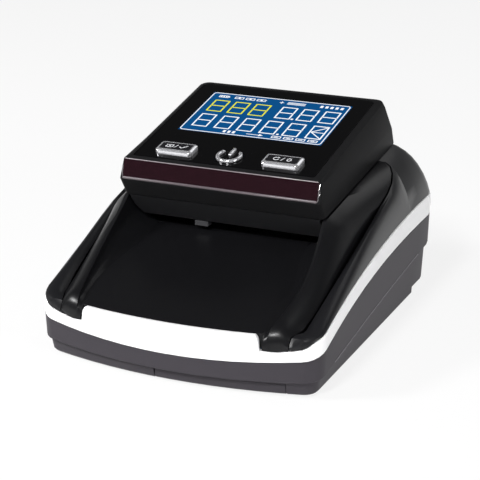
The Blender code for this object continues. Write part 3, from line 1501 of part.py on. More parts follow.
def make_head_shell():
    top_half = RIM_HALF + RIM_WIDTH
    brow = PANEL_Y - HEAD_FRONT_ROUND * FASCIA_SLOPE
    back = PANEL_REAR_Y
    deep = PANEL_THICK + SEAM
    under = deep + LEDGE_THICK
    ledge_half = RIM_HALF - LEDGE_WIDTH
    ledge_front, ledge_rear = RIM_FRONT_Y + LEDGE_WIDTH, RIM_REAR_Y - LEDGE_WIDTH
    inner_front = PANEL_Y + HEAD_WALL
    rings = [
        head_ring(HEAD_HALF - EDGE / 3, HEAD_FRONT_Y, HEAD_REAR_Y, head_base),
        head_ring(HEAD_HALF, FASCIA_Y, WAIST_REAR_Y, waist_height),
        head_ring(
            HEAD_HALF - EDGE,
            brow,
            back + HEAD_SIDE_ROUND * 1.1,
            lambda y: panel_height(y) - edge_drop(y, 1.0),
        ),
        head_ring(
            blend(top_half, HEAD_HALF - EDGE, 0.7),
            blend(PANEL_Y, brow, 0.7),
            back + HEAD_SIDE_ROUND * 0.75,
            lambda y: panel_height(y) - edge_drop(y, 0.3),
        ),
        head_ring(top_half, PANEL_Y + HEAD_FRONT_ROUND * 0.5, back, panel_height),
        head_ring(RIM_HALF, RIM_FRONT_Y, RIM_REAR_Y, panel_height, RIM_WIDTH),
        head_ring(RIM_HALF, RIM_FRONT_Y, RIM_REAR_Y, lambda y: panel_height(y) - deep, RIM_WIDTH),
        head_ring(ledge_half, ledge_front, ledge_rear, lambda y: panel_height(y) - deep, LEDGE_WIDTH),
        head_ring(ledge_half, ledge_front, ledge_rear, lambda y: panel_height(y) - under, LEDGE_WIDTH),
        head_ring(
            HEAD_INNER - EDGE,
            inner_front,
            back,
            lambda y: panel_height(y) - under - edge_drop(y, 0.5),
            HEAD_WALL,
        ),
        head_ring(HEAD_INNER, FASCIA_Y + HEAD_WALL, WAIST_REAR_Y - HEAD_WALL, waist_height, HEAD_WALL),
        head_ring(HEAD_INNER, HEAD_FRONT_Y + HEAD_WALL, HEAD_REAR_Y - HEAD_WALL, head_base, HEAD_WALL),
    ]
    shell = loft("head_shell", rings, "black_satin", closed=True)
    add_panel_posts(shell, ledge_half, ledge_front, ledge_rear)
    cut(shell, fascia_plate("fascia_recess", SEAM))
    for side in (-1, 1):
        name = "right" if side > 0 else "left"
        near = side * (KNUCKLE_PLACE + KNUCKLE_LENGTH + SEAM)
        far = side * (KNUCKLE_PLACE + 2 * KNUCKLE_LENGTH + SEAM)
        start, end = (near, HINGE_Y, HINGE_Z), (far, HINGE_Y, HINGE_Z)
        join(shell, rod(f"head_knuckle_{name}", KNUCKLE_RADIUS, start, end))
        cut(
            shell,
            rod(
                f"head_notch_{name}",
                KNUCKLE_RADIUS + REST_GAP,
                (side * (KNUCKLE_PLACE - SEAM), HINGE_Y, HINGE_Z),
                (near, HINGE_Y, HINGE_Z),
            ),
            rod(
                f"head_pin_hole_{name}",
                HINGE_PIN_RADIUS + RUNNING_GAP,
                (near - side * EDGE, HINGE_Y, HINGE_Z),
                (far + side * EDGE, HINGE_Y, HINGE_Z),
            ),
        )
    return shell


BOARD_DROP = PANEL_THICK + 2 * SEAM + MODULE_THICK


def add_panel_posts(shell, ledge_half, ledge_front, ledge_rear):
    """Square posts under the ledge that the display board is fixed to."""
    for row, y in (("front", ledge_front + PANEL_POST), ("rear", ledge_rear - PANEL_POST)):
        for name, side in (("left", -1), ("right", 1)):
            low_x, high_x = sorted((side * (ledge_half - EDGE), side * (ledge_half + LEDGE_WIDTH)))
            top = panel_height(y) - PANEL_THICK - LEDGE_THICK / 2
            low, high = (low_x, -PANEL_POST / 2, -BOARD_DROP), (high_x, PANEL_POST / 2, 0)
            post = box(f"panel_post_{row}_{name}", low, high)
            post.location = (0, y, panel_height(y))
            post.rotation_euler = (PANEL_TILT, 0, 0)
            low = (low_x - EDGE, y - PANEL_POST, top)
            high = (high_x + EDGE, y + PANEL_POST, top + PANEL_POST)
            cut(post, box(f"panel_post_trim_{row}_{name}", low, high))
            join(shell, post)


def fascia_plate(name, margin, look=None):
    """The strip on the front of the head, in the plane that leans from its foot to the panel's edge."""
    length = math.hypot(FASCIA_HEIGHT, FASCIA_LEAN)
    half = HEAD_HALF - HEAD_FRONT_CORNER * 0.8 + margin
    low, high = HEAD_FRONT_ROUND - margin, length - HEAD_FRONT_ROUND + margin
    proud = FASCIA_THICK if margin else 0.0
    outline = rectangle(-half, low, half, high, HEAD_FRONT_ROUND + margin)
    plate = prism(name, outline, -FASCIA_THICK - margin, proud, "Z", look)
    plate.location = (0, FASCIA_Y, FASCIA_Z)
    plate.rotation_euler = (math.pi / 2 - math.atan(FASCIA_SLOPE), 0, 0)
    return plate


# Panel, display and keys, drawn on the tilted panel: x across, y up the slope, z out of it.
def make_panel_pieces(frame):
    lean = math.cos(PANEL_TILT)
    plate_rear = RIM_REAR_Y - SEAM - PANEL_THICK * math.sin(PANEL_TILT)
    plate = head_outline(RIM_HALF - SEAM, RIM_FRONT_Y + SEAM, plate_rear, RIM_WIDTH + SEAM)
    outline = [(x, (y - PANEL_Y) / lean) for x, y in plate]
    low = (RIM_FRONT_Y - PANEL_Y) / lean
    high = (RIM_REAR_Y - PANEL_Y) / lean
    half_w, half_h = DISPLAY_WIDTH / 2, DISPLAY_HEIGHT / 2
    display_y = DISPLAY_FROM_FRONT + half_h
    holes = [rectangle(-half_w, display_y - half_h, half_w, display_y + half_h)]
    for side in (-1, 1):
        x = side * KEY_SPACING / 2
        wide, deep = KEY_WIDTH / 2, KEY_DEPTH / 2
        holes.append(rectangle(x - wide, KEY_FROM_FRONT - deep, x + wide, KEY_FROM_FRONT + deep, EDGE))
    holes.append(circle(0, KEY_FROM_FRONT, POWER_RADIUS, POWER_STEPS))
    panel = sheet("top_panel", [outline] + holes, PANEL_THICK, "black_gloss")
    on_panel(frame, panel, (0, 0, -PANEL_THICK / 2))

    wide, deep = half_w - SEAM, half_h - SEAM
    window = rectangle(-wide, -deep, wide, deep)
    on_panel(
        frame,
        prism("display_window", window, -PANEL_THICK, -SEAM / 3, "Z", "window"),
        (0, display_y, 0),
    )
    wide, deep = half_w + MODULE_MARGIN, half_h + MODULE_MARGIN
    module_top = -PANEL_THICK - SEAM
    module = rectangle(-wide, -deep, wide, deep)
    on_panel(
        frame,
        prism("display_module", module, module_top - MODULE_THICK, module_top, "Z", "display_blue"),
        (0, display_y, 0),
    )
    board_top = -BOARD_DROP - SEAM
    wide = RIM_HALF - EDGE
    board = rectangle(-wide, low + 2 * LEDGE_WIDTH, wide, high - 2 * LEDGE_WIDTH, EDGE)
    on_panel(
        frame,
        prism("display_board", board, board_top - BOARD_THICK, board_top, "Z", "board_green"),
        (0, 0, 0),
    )
    flange_half = KEY_SPACING / 2 + KEY_WIDTH / 2 + KEY_FLANGE
    mat_front, mat_rear = KEY_FROM_FRONT - KEY_DEPTH / 2, KEY_FROM_FRONT + KEY_DEPTH / 2
    mat = rectangle(-flange_half, mat_front, flange_half, mat_rear, EDGE)
    mat_low = board_top + SEAM
    mat_high = -PANEL_THICK - SEAM - KEY_FLANGE_THICK - KEY_STEM - KEY_TRAVEL - SEAM / 2
    on_panel(frame, prism("keypad", mat, mat_low, mat_high, "Z", "silicone"), (0, 0, 0))


def on_panel(frame, piece, location):
    """Places a piece in the panel's own axes."""
    piece.parent = frame
    piece.location = location


def make_keys(frame):
    flange_top = -PANEL_THICK - SEAM
    flange_low = flange_top - KEY_FLANGE_THICK
    stem_low = flange_low - KEY_STEM
    wide, deep = KEY_WIDTH / 2 - SEAM, KEY_DEPTH / 2 - SEAM
    levels = (
        (-KEY_FLANGE * 2, stem_low),
        (-KEY_FLANGE * 2, flange_low),
        (KEY_FLANGE, flange_low),
        (KEY_FLANGE, flange_top),
        (0.0, flange_top),
        (0.0, KEY_HEIGHT - EDGE),
        (-EDGE, KEY_HEIGHT),
    )
    for name, side in (("left_button", -1), ("right_button", 1)):
        rings = []
        for grow, z in levels:
            outline = rectangle(-wide - grow, -deep - grow, wide + grow, deep + grow, EDGE)
            rings.append(raised(outline, z))
        on_panel(frame, loft(name, rings, "key_metal"), (side * KEY_SPACING / 2, KEY_FROM_FRONT, 0))

    radius = POWER_RADIUS - SEAM
    rings = []
    for grow, z in levels[:5] + ((0.0, 0.0), (-EDGE / 2, EDGE / 2)):
        rings.append(raised(circle(0, 0, radius + min(grow, POWER_FLANGE), POWER_STEPS), z))
    power = loft("power_button", rings, "key_metal")
    on_panel(frame, power, (0, KEY_FROM_FRONT, 0))
    for mark in symbol_marks():
        on_panel(frame, mark, (0, KEY_FROM_FRONT, 0))
        join(power, mark)


def symbol_marks():
    """The raised on-off mark: an open ring with a bar in its gap."""
    gap = math.radians(35)
    inner = SYMBOL_RADIUS - SYMBOL_STROKE
    turns = [math.pi / 2 + gap + (math.tau - 2 * gap) * i / 20 for i in range(21)]
    arc = [(SYMBOL_RADIUS * math.cos(turn), SYMBOL_RADIUS * math.sin(turn)) for turn in turns]
    arc += [(inner * math.cos(turn), inner * math.sin(turn)) for turn in reversed(turns)]
    half = SYMBOL_STROKE / 2
    bar = rectangle(-half, half, half, SYMBOL_RADIUS + half / 2)
    low = -PANEL_THICK / 2
    return (
        prism("power_ring", arc, low, KEY_HEIGHT * 0.8, "Z"),
        prism("power_bar", bar, low, KEY_HEIGHT * 0.8, "Z"),
    )


# Guide under the head, with the pinch rollers.
GUIDE_HALF = HALF_PATH - SWING_GAP
GUIDE_LOW_Z = PATH_HEIGHT + PATH_GAP
LIP_Z = PATH_HEIGHT + SLOT_HEIGHT
GUIDE_BACK_Y = HEAD_REAR_Y - HEAD_WALL - SEAM
GUIDE_TOP_Y = WAIST_REAR_Y - HEAD_WALL - SEAM
BLOCK_OUT = HALF_PATH - TRAY_FILLET + TRAY_SKIN / 2
BLOCK_IN = BLOCK_OUT - BLOCK_WIDTH
SPRING_Z = PINCH_Z + PINCH_RADIUS + SWING_GAP


def guide_cross(half, low, radius):
    """Cross-section of the guide: straight sides, large lower corners."""
    high = PANEL_Z
    points = [(half, high), (-half, high)]
    for i in range(7):
        turn = math.pi + math.pi / 2 * i / 6
        points.append((-half + radius + radius * math.cos(turn), low + radius + radius * math.sin(turn)))
    for i in range(7):
        turn = -math.pi / 2 + math.pi / 2 * i / 6
        points.append((half - radius + radius * math.cos(turn), low + radius + radius * math.sin(turn)))
    return points


def make_upper_guide():
    front = HEAD_FRONT_Y + HEAD_WALL + SEAM
    under_rim = HEAD_FRONT_Z - SEAM
    slope_end = GUIDE_FRONT_Y + SLOT_HEIGHT
    outer = [
        (front, HEAD_FRONT_Z + GUIDE_TOP_RISE),
        (front, under_rim),
        (HEAD_FRONT_Y + SEAM, under_rim),
        (SLOT_Y, LIP_Z),
        (GUIDE_FRONT_Y, LIP_Z),
        (slope_end, GUIDE_LOW_Z),
        (GUIDE_BACK_Y, GUIDE_LOW_Z),
        (GUIDE_TOP_Y, HEAD_REAR_Z + EDGE),
    ]
    guide = prism("upper_guide", outer, -HALF_PATH, HALF_PATH, "X", "black_satin")
    wide = guide_cross(GUIDE_HALF, GUIDE_LOW_Z, TRAY_FILLET)
    combine(guide, prism("guide_tunnel", wide, HEAD_FRONT_Y - WALL, HEAD_REAR_Y, "Y"), "INTERSECT")
    round_rear = head_outline(GUIDE_HALF, FASCIA_Y - HEAD_FRONT_CORNER, GUIDE_BACK_Y, HEAD_WALL)
    combine(guide, prism("guide_plan", round_rear, 0, PANEL_Z, "Z"), "INTERSECT")
    skin_in = GUIDE_SKIN
    inner = [
        (front + skin_in, PANEL_Z),
        (front + skin_in, HEAD_FRONT_Z),
        (SLOT_Y + skin_in, LIP_Z + skin_in),
        (GUIDE_FRONT_Y + skin_in / 2, LIP_Z + skin_in),
        (slope_end + skin_in / 4, GUIDE_LOW_Z + skin_in),
        (GUIDE_BACK_Y - skin_in, GUIDE_LOW_Z + skin_in),
        (GUIDE_TOP_Y - skin_in, HEAD_REAR_Z + GUIDE_TOP_RISE),
        (GUIDE_TOP_Y - skin_in, PANEL_Z + skin_in),
    ]
    hollow = prism("guide_hollow", inner, -HALF_PATH, HALF_PATH, "X")
    narrow = guide_cross(GUIDE_HALF - skin_in, GUIDE_LOW_Z + skin_in, TRAY_FILLET - skin_in)
    combine(hollow, prism("guide_hollow_tunnel", narrow, HEAD_FRONT_Y, HEAD_REAR_Y, "Y"), "INTERSECT")
    cut(guide, hollow)
    for name, side in (("left", -1), ("right", 1)):
        low_x, high_x = sorted((side * (GUIDE_HALF - HEAD_WALL), side * HEAD_HALF))
        low, high = (low_x, HEAD_FRONT_Y, under_rim), (high_x, front + HEAD_WALL, PANEL_Z)
        cut(guide, box(f"guide_front_notch_{name}", low, high))
    for row, y in ROLLER_PLACES:
        add_pinch_mounts(guide, row, y)
    half, deep = SENSOR_LENGTH / 2, SENSOR_WIDTH / 2
    floor_top = GUIDE_LOW_Z + skin_in + SEAM
    cut(
        guide,
        box("upper_sensor_slot", (-half, SENSOR_Y - deep, PATH_HEIGHT), (half, SENSOR_Y + deep, floor_top)),
    )
    make_sensor(
        "upper_sensor_window",
        SENSOR_Y,
        SENSOR_LENGTH,
        SENSOR_WIDTH,
        GUIDE_LOW_Z,
        GUIDE_LOW_Z + skin_in,
        "window",
    )
    low_x = ENTRY_SENSOR_X - ENTRY_SENSOR_WIDTH / 2
    high_x = ENTRY_SENSOR_X + ENTRY_SENSOR_WIDTH / 2
    box(
        "entry_sensor",
        (low_x, SLOT_Y + SEAM, LIP_Z - SEAM - ENTRY_SENSOR_DROP),
        (high_x, GUIDE_FRONT_Y - SEAM, LIP_Z - SEAM),
        "sensor_grey",
    )
    return guide


def add_pinch_mounts(guide, row, y):
    """Bearing blocks, roller windows and spring slots for one pinch roller."""
    block_top = SPRING_Z + 4 * SPRING_THICK
    deep = PINCH_PIN_RADIUS + GUIDE_SKIN
    reach = chord(PINCH_RADIUS, PINCH_Z - GUIDE_LOW_Z - GUIDE_SKIN) + SWING_GAP
    for name, side in (("left", -1), ("right", 1)):
        low_x, high_x = sorted((side * BLOCK_IN, side * BLOCK_OUT))
        join(
            guide,
            box(
                f"{row}_block_{name}",
                (low_x, y - deep, GUIDE_LOW_Z + GUIDE_SKIN / 2),
                (high_x, y + deep, block_top),
            ),
        )
        middle = side * ROLLER_SPACING / 2
        wide = ROLLER_WIDTH / 2 + SWING_GAP
        cut(
            guide,
            box(
                f"{row}_pinch_window_{name}",
                (middle - wide, y - reach, PATH_HEIGHT),
                (middle + wide, y + reach, GUIDE_LOW_Z + GUIDE_SKIN + SEAM),
            ),
        )
    hole = PINCH_PIN_RADIUS + RUNNING_GAP
    end = BLOCK_OUT + EDGE
    slot = BLOCK_OUT - GUIDE_SKIN / 2
    cut(
        guide,
        rod(f"{row}_pinch_bore", hole, (-end, y, PINCH_Z), (end, y, PINCH_Z), steps=16),
        box(
            f"{row}_spring_slot",
            (-slot, y - SPRING_WIDTH / 2 - SEAM, SPRING_Z - SEAM),
            (slot, y + SPRING_WIDTH / 2 + SEAM, SPRING_Z + SPRING_THICK + SEAM),
        ),
    )


def make_pinch_rollers():
    end = BLOCK_OUT - SEAM
    inner = ROLLER_SPACING / 2 - ROLLER_WIDTH / 2
    outer = ROLLER_SPACING / 2 + ROLLER_WIDTH / 2
    half = [
        (end, 0),
        (end, PINCH_PIN_RADIUS),
        (outer, PINCH_PIN_RADIUS),
        (outer, PINCH_RADIUS),
        (inner, PINCH_RADIUS),
        (inner, PINCH_PIN_RADIUS),
    ]
    profile = half + [(-along, radius) for along, radius in reversed(half)]
    dip = SPRING_Z - (PINCH_Z + PINCH_PIN_RADIUS + SEAM)
    reach = BLOCK_OUT - GUIDE_SKIN / 2 - SEAM
    flat = inner - SWING_GAP
    lower = [(-reach, SPRING_Z)]
    for i in range(13):
        x = blend(-flat, flat, i / 12)
        lower.append((x, SPRING_Z - dip * math.cos(math.pi / 2 * x / flat) ** 2))
    lower.append((reach, SPRING_Z))
    outline = lower + [(x, z + SPRING_THICK) for x, z in reversed(lower)]
    for row, y in ROLLER_PLACES:
        turned(f"{row}_pinch_roller", profile, (0, y, PINCH_Z), "nylon")
        prism(f"{row}_pinch_spring", outline, y - SPRING_WIDTH / 2, y + SPRING_WIDTH / 2, "Y", "steel")


def make_base():
    make_lower_shell()
    make_trim_band()
    make_feet()
    make_screws()
    make_battery()
    make_electronics()


def make_upper_housing():
    make_upper_shell()
    make_tray_deck()
    make_hinge_pins()


def make_drive():
    make_lower_guide()
    make_sensors()
    make_side_plates()
    make_bushes()
    make_drive_rollers()
    make_gears()
    make_motor()


HEAD_PIECES = (
    "head_shell",
    "front_fascia",
    "upper_guide",
    "upper_sensor_window",
    "entry_sensor",
    "front_pinch_roller",
    "rear_pinch_roller",
    "front_pinch_spring",
    "rear_pinch_spring",
)


def make_head():
    make_head_shell()
    fascia_plate("front_fascia", 0.0, "fascia_red")
    make_upper_guide()
    make_pinch_rollers()
    head = pivot("head_pivot", (0, HINGE_Y, HINGE_Z))
    frame = pivot("panel_frame", (0, PANEL_Y, PANEL_Z), PANEL_TILT)
    carry(head, frame, *(bpy.data.objects[name] for name in HEAD_PIECES))
    make_panel_pieces(frame)
    make_keys(frame)


def main():
    clear_scene()
    bpy.context.scene.collection.children.link(PARTS)
    bpy.context.scene.collection.children.link(CUTTERS)
    CUTTERS.hide_render = True
    make_base()
    make_upper_housing()
    make_drive()
    make_head()


main()
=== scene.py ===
"""Looks of a small banknote counter: finishes, display picture, key faces, stage and camera."""

import json
import math

import bmesh
import bpy
from mathutils import Matrix, Vector


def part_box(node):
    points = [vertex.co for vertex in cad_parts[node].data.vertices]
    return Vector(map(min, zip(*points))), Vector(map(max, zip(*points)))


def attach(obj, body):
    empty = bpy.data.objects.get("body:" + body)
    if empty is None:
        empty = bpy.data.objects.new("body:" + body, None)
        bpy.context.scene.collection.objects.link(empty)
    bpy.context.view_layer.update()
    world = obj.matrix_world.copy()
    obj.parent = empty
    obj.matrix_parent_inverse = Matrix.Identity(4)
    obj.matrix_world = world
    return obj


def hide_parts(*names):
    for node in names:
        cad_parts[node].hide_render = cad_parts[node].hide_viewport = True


bl_info = {
    "name": "Banknote counter looks",
    "version": (1, 0, 0),
    "blender": (4, 5, 0),
    "location": "View3D > Sidebar > Note counter",
    "description": "Finishes, display picture, keys and stage for a small banknote counter",
    "category": "Object",
}

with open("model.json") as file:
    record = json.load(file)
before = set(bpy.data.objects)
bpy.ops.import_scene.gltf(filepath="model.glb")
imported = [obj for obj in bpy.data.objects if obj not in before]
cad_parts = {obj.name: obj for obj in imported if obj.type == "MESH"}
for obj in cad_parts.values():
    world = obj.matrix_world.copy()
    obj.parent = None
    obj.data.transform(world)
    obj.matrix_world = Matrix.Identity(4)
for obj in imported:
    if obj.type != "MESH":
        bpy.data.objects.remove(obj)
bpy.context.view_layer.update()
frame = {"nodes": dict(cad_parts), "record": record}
SLOTS = {entry["node"]: entry["material_slot"] for entry in frame["record"]["subparts"]}
MM = 0.001

# Meshes: points nearer than this are joined, and these angles part flat, bevelled and sharp edges.
WELD_REACH = 0.001 * MM
FLAT_ANGLE = math.radians(0.4)
BEVEL_ANGLE = math.radians(28)
SHARP_ANGLE = math.radians(35)

# Domed end of a round bar: places along it and widths there, as shares of its radius.
DOME = ((0.0, 1.0), (0.7, 0.7), (0.95, 0.3))

# Line along the base's upper tier: its radius, how far in its points lie and how far it runs.
TIER_EDGE_RADIUS = 0.2 * MM
TIER_EDGE_DEPTH = 1.8 * MM
TIER_EDGE_REACH = 56 * MM

# Ribs behind the groove: outline across and up in millimetres, and the places of both faces.
RIB_OUTLINE = ((53.0, 55.0), (56.0, 55.0), (56.0, 60.6), (53.0, 62.0))
RIB_FRONT = 36.5 * MM
RIB_REAR = 37.5 * MM

# Strip on the head: how far its beads stop short, and how deep its brow is looked for.
BEAD_SHORT = 0.6 * MM
BROW_DEPTH = 0.3 * MM
# Ends of the strip: share of its height and radius in millimetres, how far back, and points round.
END_PROFILE = ((0.0, 0.08), (0.12, 0.35), (0.35, 0.7), (0.6, 0.75), (0.85, 0.4), (1.0, 0.08))
END_BACK = 0.35 * MM
END_POINTS = 12

# Display picture: feet and tops of both rows, and the starts and steps of their digits.
UPPER_ROW = (0.7 * MM, 12.2 * MM)
LOWER_ROW = (-14.8 * MM, -2.4 * MM)
DIGITS_INSET = 3.9 * MM
UPPER_LEFT_STEP = 10.1 * MM
UPPER_RIGHT_START = 3.5 * MM
UPPER_RIGHT_STEP = 10.2 * MM
LOWER_STEP = 10.7 * MM
LOWER_COUNT = 5
UPPER_POINT = 12.0 * MM
LOWER_POINT = 41.0 * MM

# Framed keys: half width and depth, foot, and the inset of the face inside the frame.
KEY_HALF_WIDTH = 8.5 * MM
KEY_HALF_DEPTH = 4.3 * MM
KEY_FOOT = -1.9 * MM
FACE_INSET = 1.42 * MM
FACE_CORNER = 0.78 * MM

# Power key: radius and height of its disc in millimetres, then its raised ring and stem.
DISC_PROFILE = ((6.1, -1.9), (6.1, -0.15), (5.95, 0.02), (5.2, 0.1), (2.0, 0.16))
DISC_POINTS = 40
RING_REACH = 4.95 * MM
RING_GAP = math.radians(52)
RING_STEPS = 32
STEM = (1.0 * MM, 3.5 * MM, 6.0 * MM)
SIGN_RADIUS = 0.85 * MM
SIGN_HEIGHT = 0.55 * MM

# Solids that have a finish of their own or a piece in their place.
OUTER_NODES = (
    "lower_shell",
    "battery_door",
    "trim_band",
    "upper_shell",
    "tray_deck",
    "head_shell",
    "upper_guide",
    "top_panel",
    "front_fascia",
    "entry_sensor",
    "display_window",
    "display_module",
    "left_button",
    "right_button",
    "power_button",
)

# Studio lamps: name, place and size in metres, power in watts. All point at one spot.
LAMPS = (
    ("lamp_left", (-0.9, -0.62, 0.8), 0.25, 11.0),
    ("lamp_right", (1.05, -0.45, 0.32), 0.3, 4.6),
    ("lamp_front", (-0.03, -0.98, 0.92), 0.2, 12.0),
    ("lamp_back", (0.3, 0.62, 0.82), 0.6, 1.2),
)
LAMP_AIM = Vector((0, 0, 0.04))

# Camera: the point it looks at, lens and sensor in millimetres, nearest distance in metres.
CAMERA_TARGET = Vector((0, -0.00645, 0.03833))
CAMERA_LENS = 120.84
CAMERA_SENSOR = 36.0
CAMERA_NEAR = 0.01

# Floor: half its width, and how much of its look is plain white to the camera and in reflections.
FLOOR_HALF = 4.0
FLOOR_WHITE = 0.84

# Room: its even level, and the glow of the wall behind, by height and depth of the direction.
ROOM_LEVEL = 0.07
WALL_FADE = {"From Min": 0.1, "From Max": 0.6, "To Min": 0.45, "To Max": 0.0}
WALL_BEHIND = {"From Min": 0.0, "From Max": 0.4}
WHITE = (1.0, 1.0, 1.0, 1.0)


# Shared helpers.
def linear(hex_colour):
    """Linear red, green and blue of an sRGB hex colour."""
    values = [int(hex_colour[i : i + 2], 16) / 255 for i in (0, 2, 4)]
    return tuple(v / 12.92 if v <= 0.04045 else ((v + 0.055) / 1.055) ** 2.4 for v in values)


def add_node(tree, kind, inputs=None, links=(), **settings):
    """Adds a node, sets its properties and inputs and links sources to its inputs."""
    node = tree.nodes.new(kind)
    for key, value in settings.items():
        setattr(node, key, value)
    for key, value in (inputs or {}).items():
        node.inputs[key].default_value = value
    for key, source in links:
        tree.links.new(source, node.inputs[key])
    return node


def finish(name, colour, roughness, specular=0.5, grain=0.0, depth=0.0, **inputs):
    """A shader for one finish. Its texture's size and height, grain and depth, are in millimetres."""
    material = bpy.data.materials.new(name)
    material.use_nodes = True
    tree = material.node_tree
    tree.nodes.clear()
    look = {"Base Color": (*colour, 1.0), "Roughness": roughness, "Specular IOR Level": specular}
    shader = add_node(tree, "ShaderNodeBsdfPrincipled", {**look, **inputs})
    add_node(tree, "ShaderNodeOutputMaterial", links=[("Surface", shader.outputs["BSDF"])])
    if grain:
        place = add_node(tree, "ShaderNodeTexCoord")
        speckle = add_node(
            tree,
            "ShaderNodeTexNoise",
            {"Scale": 1 / (grain * MM), "Detail": 3.0, "Roughness": 0.6},
            [("Vector", place.outputs["Object"])],
        )
        bump = add_node(
            tree,
            "ShaderNodeBump",
            {"Strength": 1.0, "Distance": depth * MM},
            [("Height", speckle.outputs["Fac"])],
        )
        tree.links.new(bump.outputs["Normal"], shader.inputs["Normal"])
    return material


def lit(colour, strength):
    """Shader inputs of a face that glows."""
    return {"Emission Color": (*colour, 1.0), "Emission Strength": strength}


def dress(node, material, edge=0.0):
    """Gives a solid its finish and, where edge is set, the small moulded radius on its corners."""
    solid = frame["nodes"][node]
    solid.data.materials.clear()
    solid.data.materials.append(material)
    if not edge:
        return
    if "custom_normal" in solid.data.attributes:
        solid.data.attributes.remove(solid.data.attributes["custom_normal"])
    solid.data.shade_smooth()
    weld = solid.modifiers.new("Join seams", "WELD")
    weld.merge_threshold = WELD_REACH
    flat = solid.modifiers.new("Clear flat faces", "DECIMATE")
    flat.decimate_type = "DISSOLVE"
    flat.angle_limit = FLAT_ANGLE
    bevel = solid.modifiers.new("Moulded edge", "BEVEL")
    bevel.width = edge
    bevel.segments = 2
    bevel.limit_method = "ANGLE"
    bevel.angle_limit = BEVEL_ANGLE
    bevel.harden_normals = True


def new_piece(name, mesh, material, body, smooth=True):
    """A piece of the scene that moves with a body of the part."""
    mesh.materials.append(material)
    if smooth:
        mesh.shade_smooth()
        mesh.set_sharp_from_angle(angle=SHARP_ANGLE)
    piece = bpy.data.objects.new(name, mesh)
    bpy.context.scene.collection.objects.link(piece)
    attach(piece, body)
    return piece


def closed_mesh(name, stacks, place):
    """Closed shells, each through a stack of rings of points, in the axes of place."""
    shape = bmesh.new()
    for rings in stacks:
        rows = [[shape.verts.new(place @ Vector(point)) for point in ring] for ring in rings]
        count = len(rings[0])
        for low, high in zip(rows, rows[1:]):
            for i in range(count):
                j = (i + 1) % count
                shape.faces.new((low[i], low[j], high[j], high[i]))
        shape.faces.new(rows[0][::-1])
        shape.faces.new(rows[-1])
    bmesh.ops.recalc_face_normals(shape, faces=shape.faces)
    mesh = bpy.data.meshes.new(name)
    shape.to_mesh(mesh)
    shape.free()
    return mesh


def printed(name, outlines, low, high, place):
    """Thin plates, one for each outline, in the axes of place."""
    stacks = [[[(x, y, z) for x, y in outline] for z in (low, high)] for outline in outlines]
    return closed_mesh(name, stacks, place)


def tube(name, points, radius, place, steps=12):
    """A round bar along points, with domed ends, in the axes of place."""
    points = [Vector(point) for point in points]
    last = len(points) - 1
    rings = []
    for i, point in enumerate(points):
        along = (points[min(i + 1, last)] - points[max(i - 1, 0)]).normalized()
        side = along.cross(Vector((0, 0, 1))).normalized()
        over = side.cross(along)
        if i == 0:
            stops = [(-shift, share) for shift, share in reversed(DOME)]
        elif i == last:
            stops = DOME
        else:
            stops = DOME[:1]
        for shift, share in stops:
            centre = point + along * shift * radius
            spokes = [side * x + over * y for x, y in circle(1.0, steps)]
            rings.append([centre + spoke * radius * share for spoke in spokes])
    return closed_mesh(name, [rings], place)


def circle(radius, steps, x=0.0, y=0.0):
    """Outline of a circle."""
    turns = [math.tau * k / steps for k in range(steps)]
    return [(x + radius * math.cos(turn), y + radius * math.sin(turn)) for turn in turns]


def rounded(half_x, half_y, radius, x=0.0, y=0.0, steps=5):
    """Outline of a rectangle with round corners."""
    outline = []
    for corner, (sx, sy) in enumerate(((1, 1), (-1, 1), (-1, -1), (1, -1))):
        middle_x = x + sx * (half_x - radius)
        middle_y = y + sy * (half_y - radius)
        for k in range(steps + 1):
            turn = math.pi / 2 * (corner + k / steps)
            outline.append((middle_x + radius * math.cos(turn), middle_y + radius * math.sin(turn)))
    return outline


def bar(start, end, width):
    """Outline of a straight stroke."""
    start, end = Vector(start), Vector(end)
    along = (end - start).normalized()
    side = Vector((-along.y, along.x)) * width / 2
    return [tuple(point) for point in (start - side, end - side, end + side, start + side)]


def between(outer, inner):
    """Outlines of the strokes between an outer and an inner outline with as many points."""
    count = len(outer)
    return [[outer[i], outer[(i + 1) % count], inner[(i + 1) % count], inner[i]] for i in range(count)]


def hollow(half_x, half_y, width, x=0.0, y=0.0):
    """Outlines of the four mitred strokes of a rectangular frame."""
    sides = ((-1, -1), (1, -1), (1, 1), (-1, 1))
    outer = [(x + sx * half_x, y + sy * half_y) for sx, sy in sides]
    inner = [(x + sx * (half_x - width), y + sy * (half_y - width)) for sx, sy in sides]
    return between(outer, inner)


def panel_axes():
    """Axes of the head's panel: x across, y up its slope from the front edge, z out of it."""
    mesh = frame["nodes"]["top_panel"].data
    across = Vector((1, 0, 0))
    normal = Vector()
    for face in mesh.polygons:
        if face.normal.z > 0.9:
            normal += face.normal * face.area
    normal.normalize()
    slope = normal.cross(across)
    front = min(vertex.co.dot(slope) for vertex in mesh.vertices)
    height = max(vertex.co.dot(normal) for vertex in mesh.vertices)
    axes = Matrix((across, slope, normal)).transposed().to_4x4()
    axes.translation = slope * front + normal * height
    return axes


PANEL = panel_axes()


def on_panel(node):
    """Centre of a node in the panel's axes, with its half size and its top."""
    inverse = PANEL.inverted()
    points = [inverse @ vertex.co for vertex in frame["nodes"][node].data.vertices]
    low = Vector(min(point[i] for point in points) for i in range(3))
    high = Vector(max(point[i] for point in points) for i in range(3))
    return (low + high) / 2, (high - low) / 2, high.z


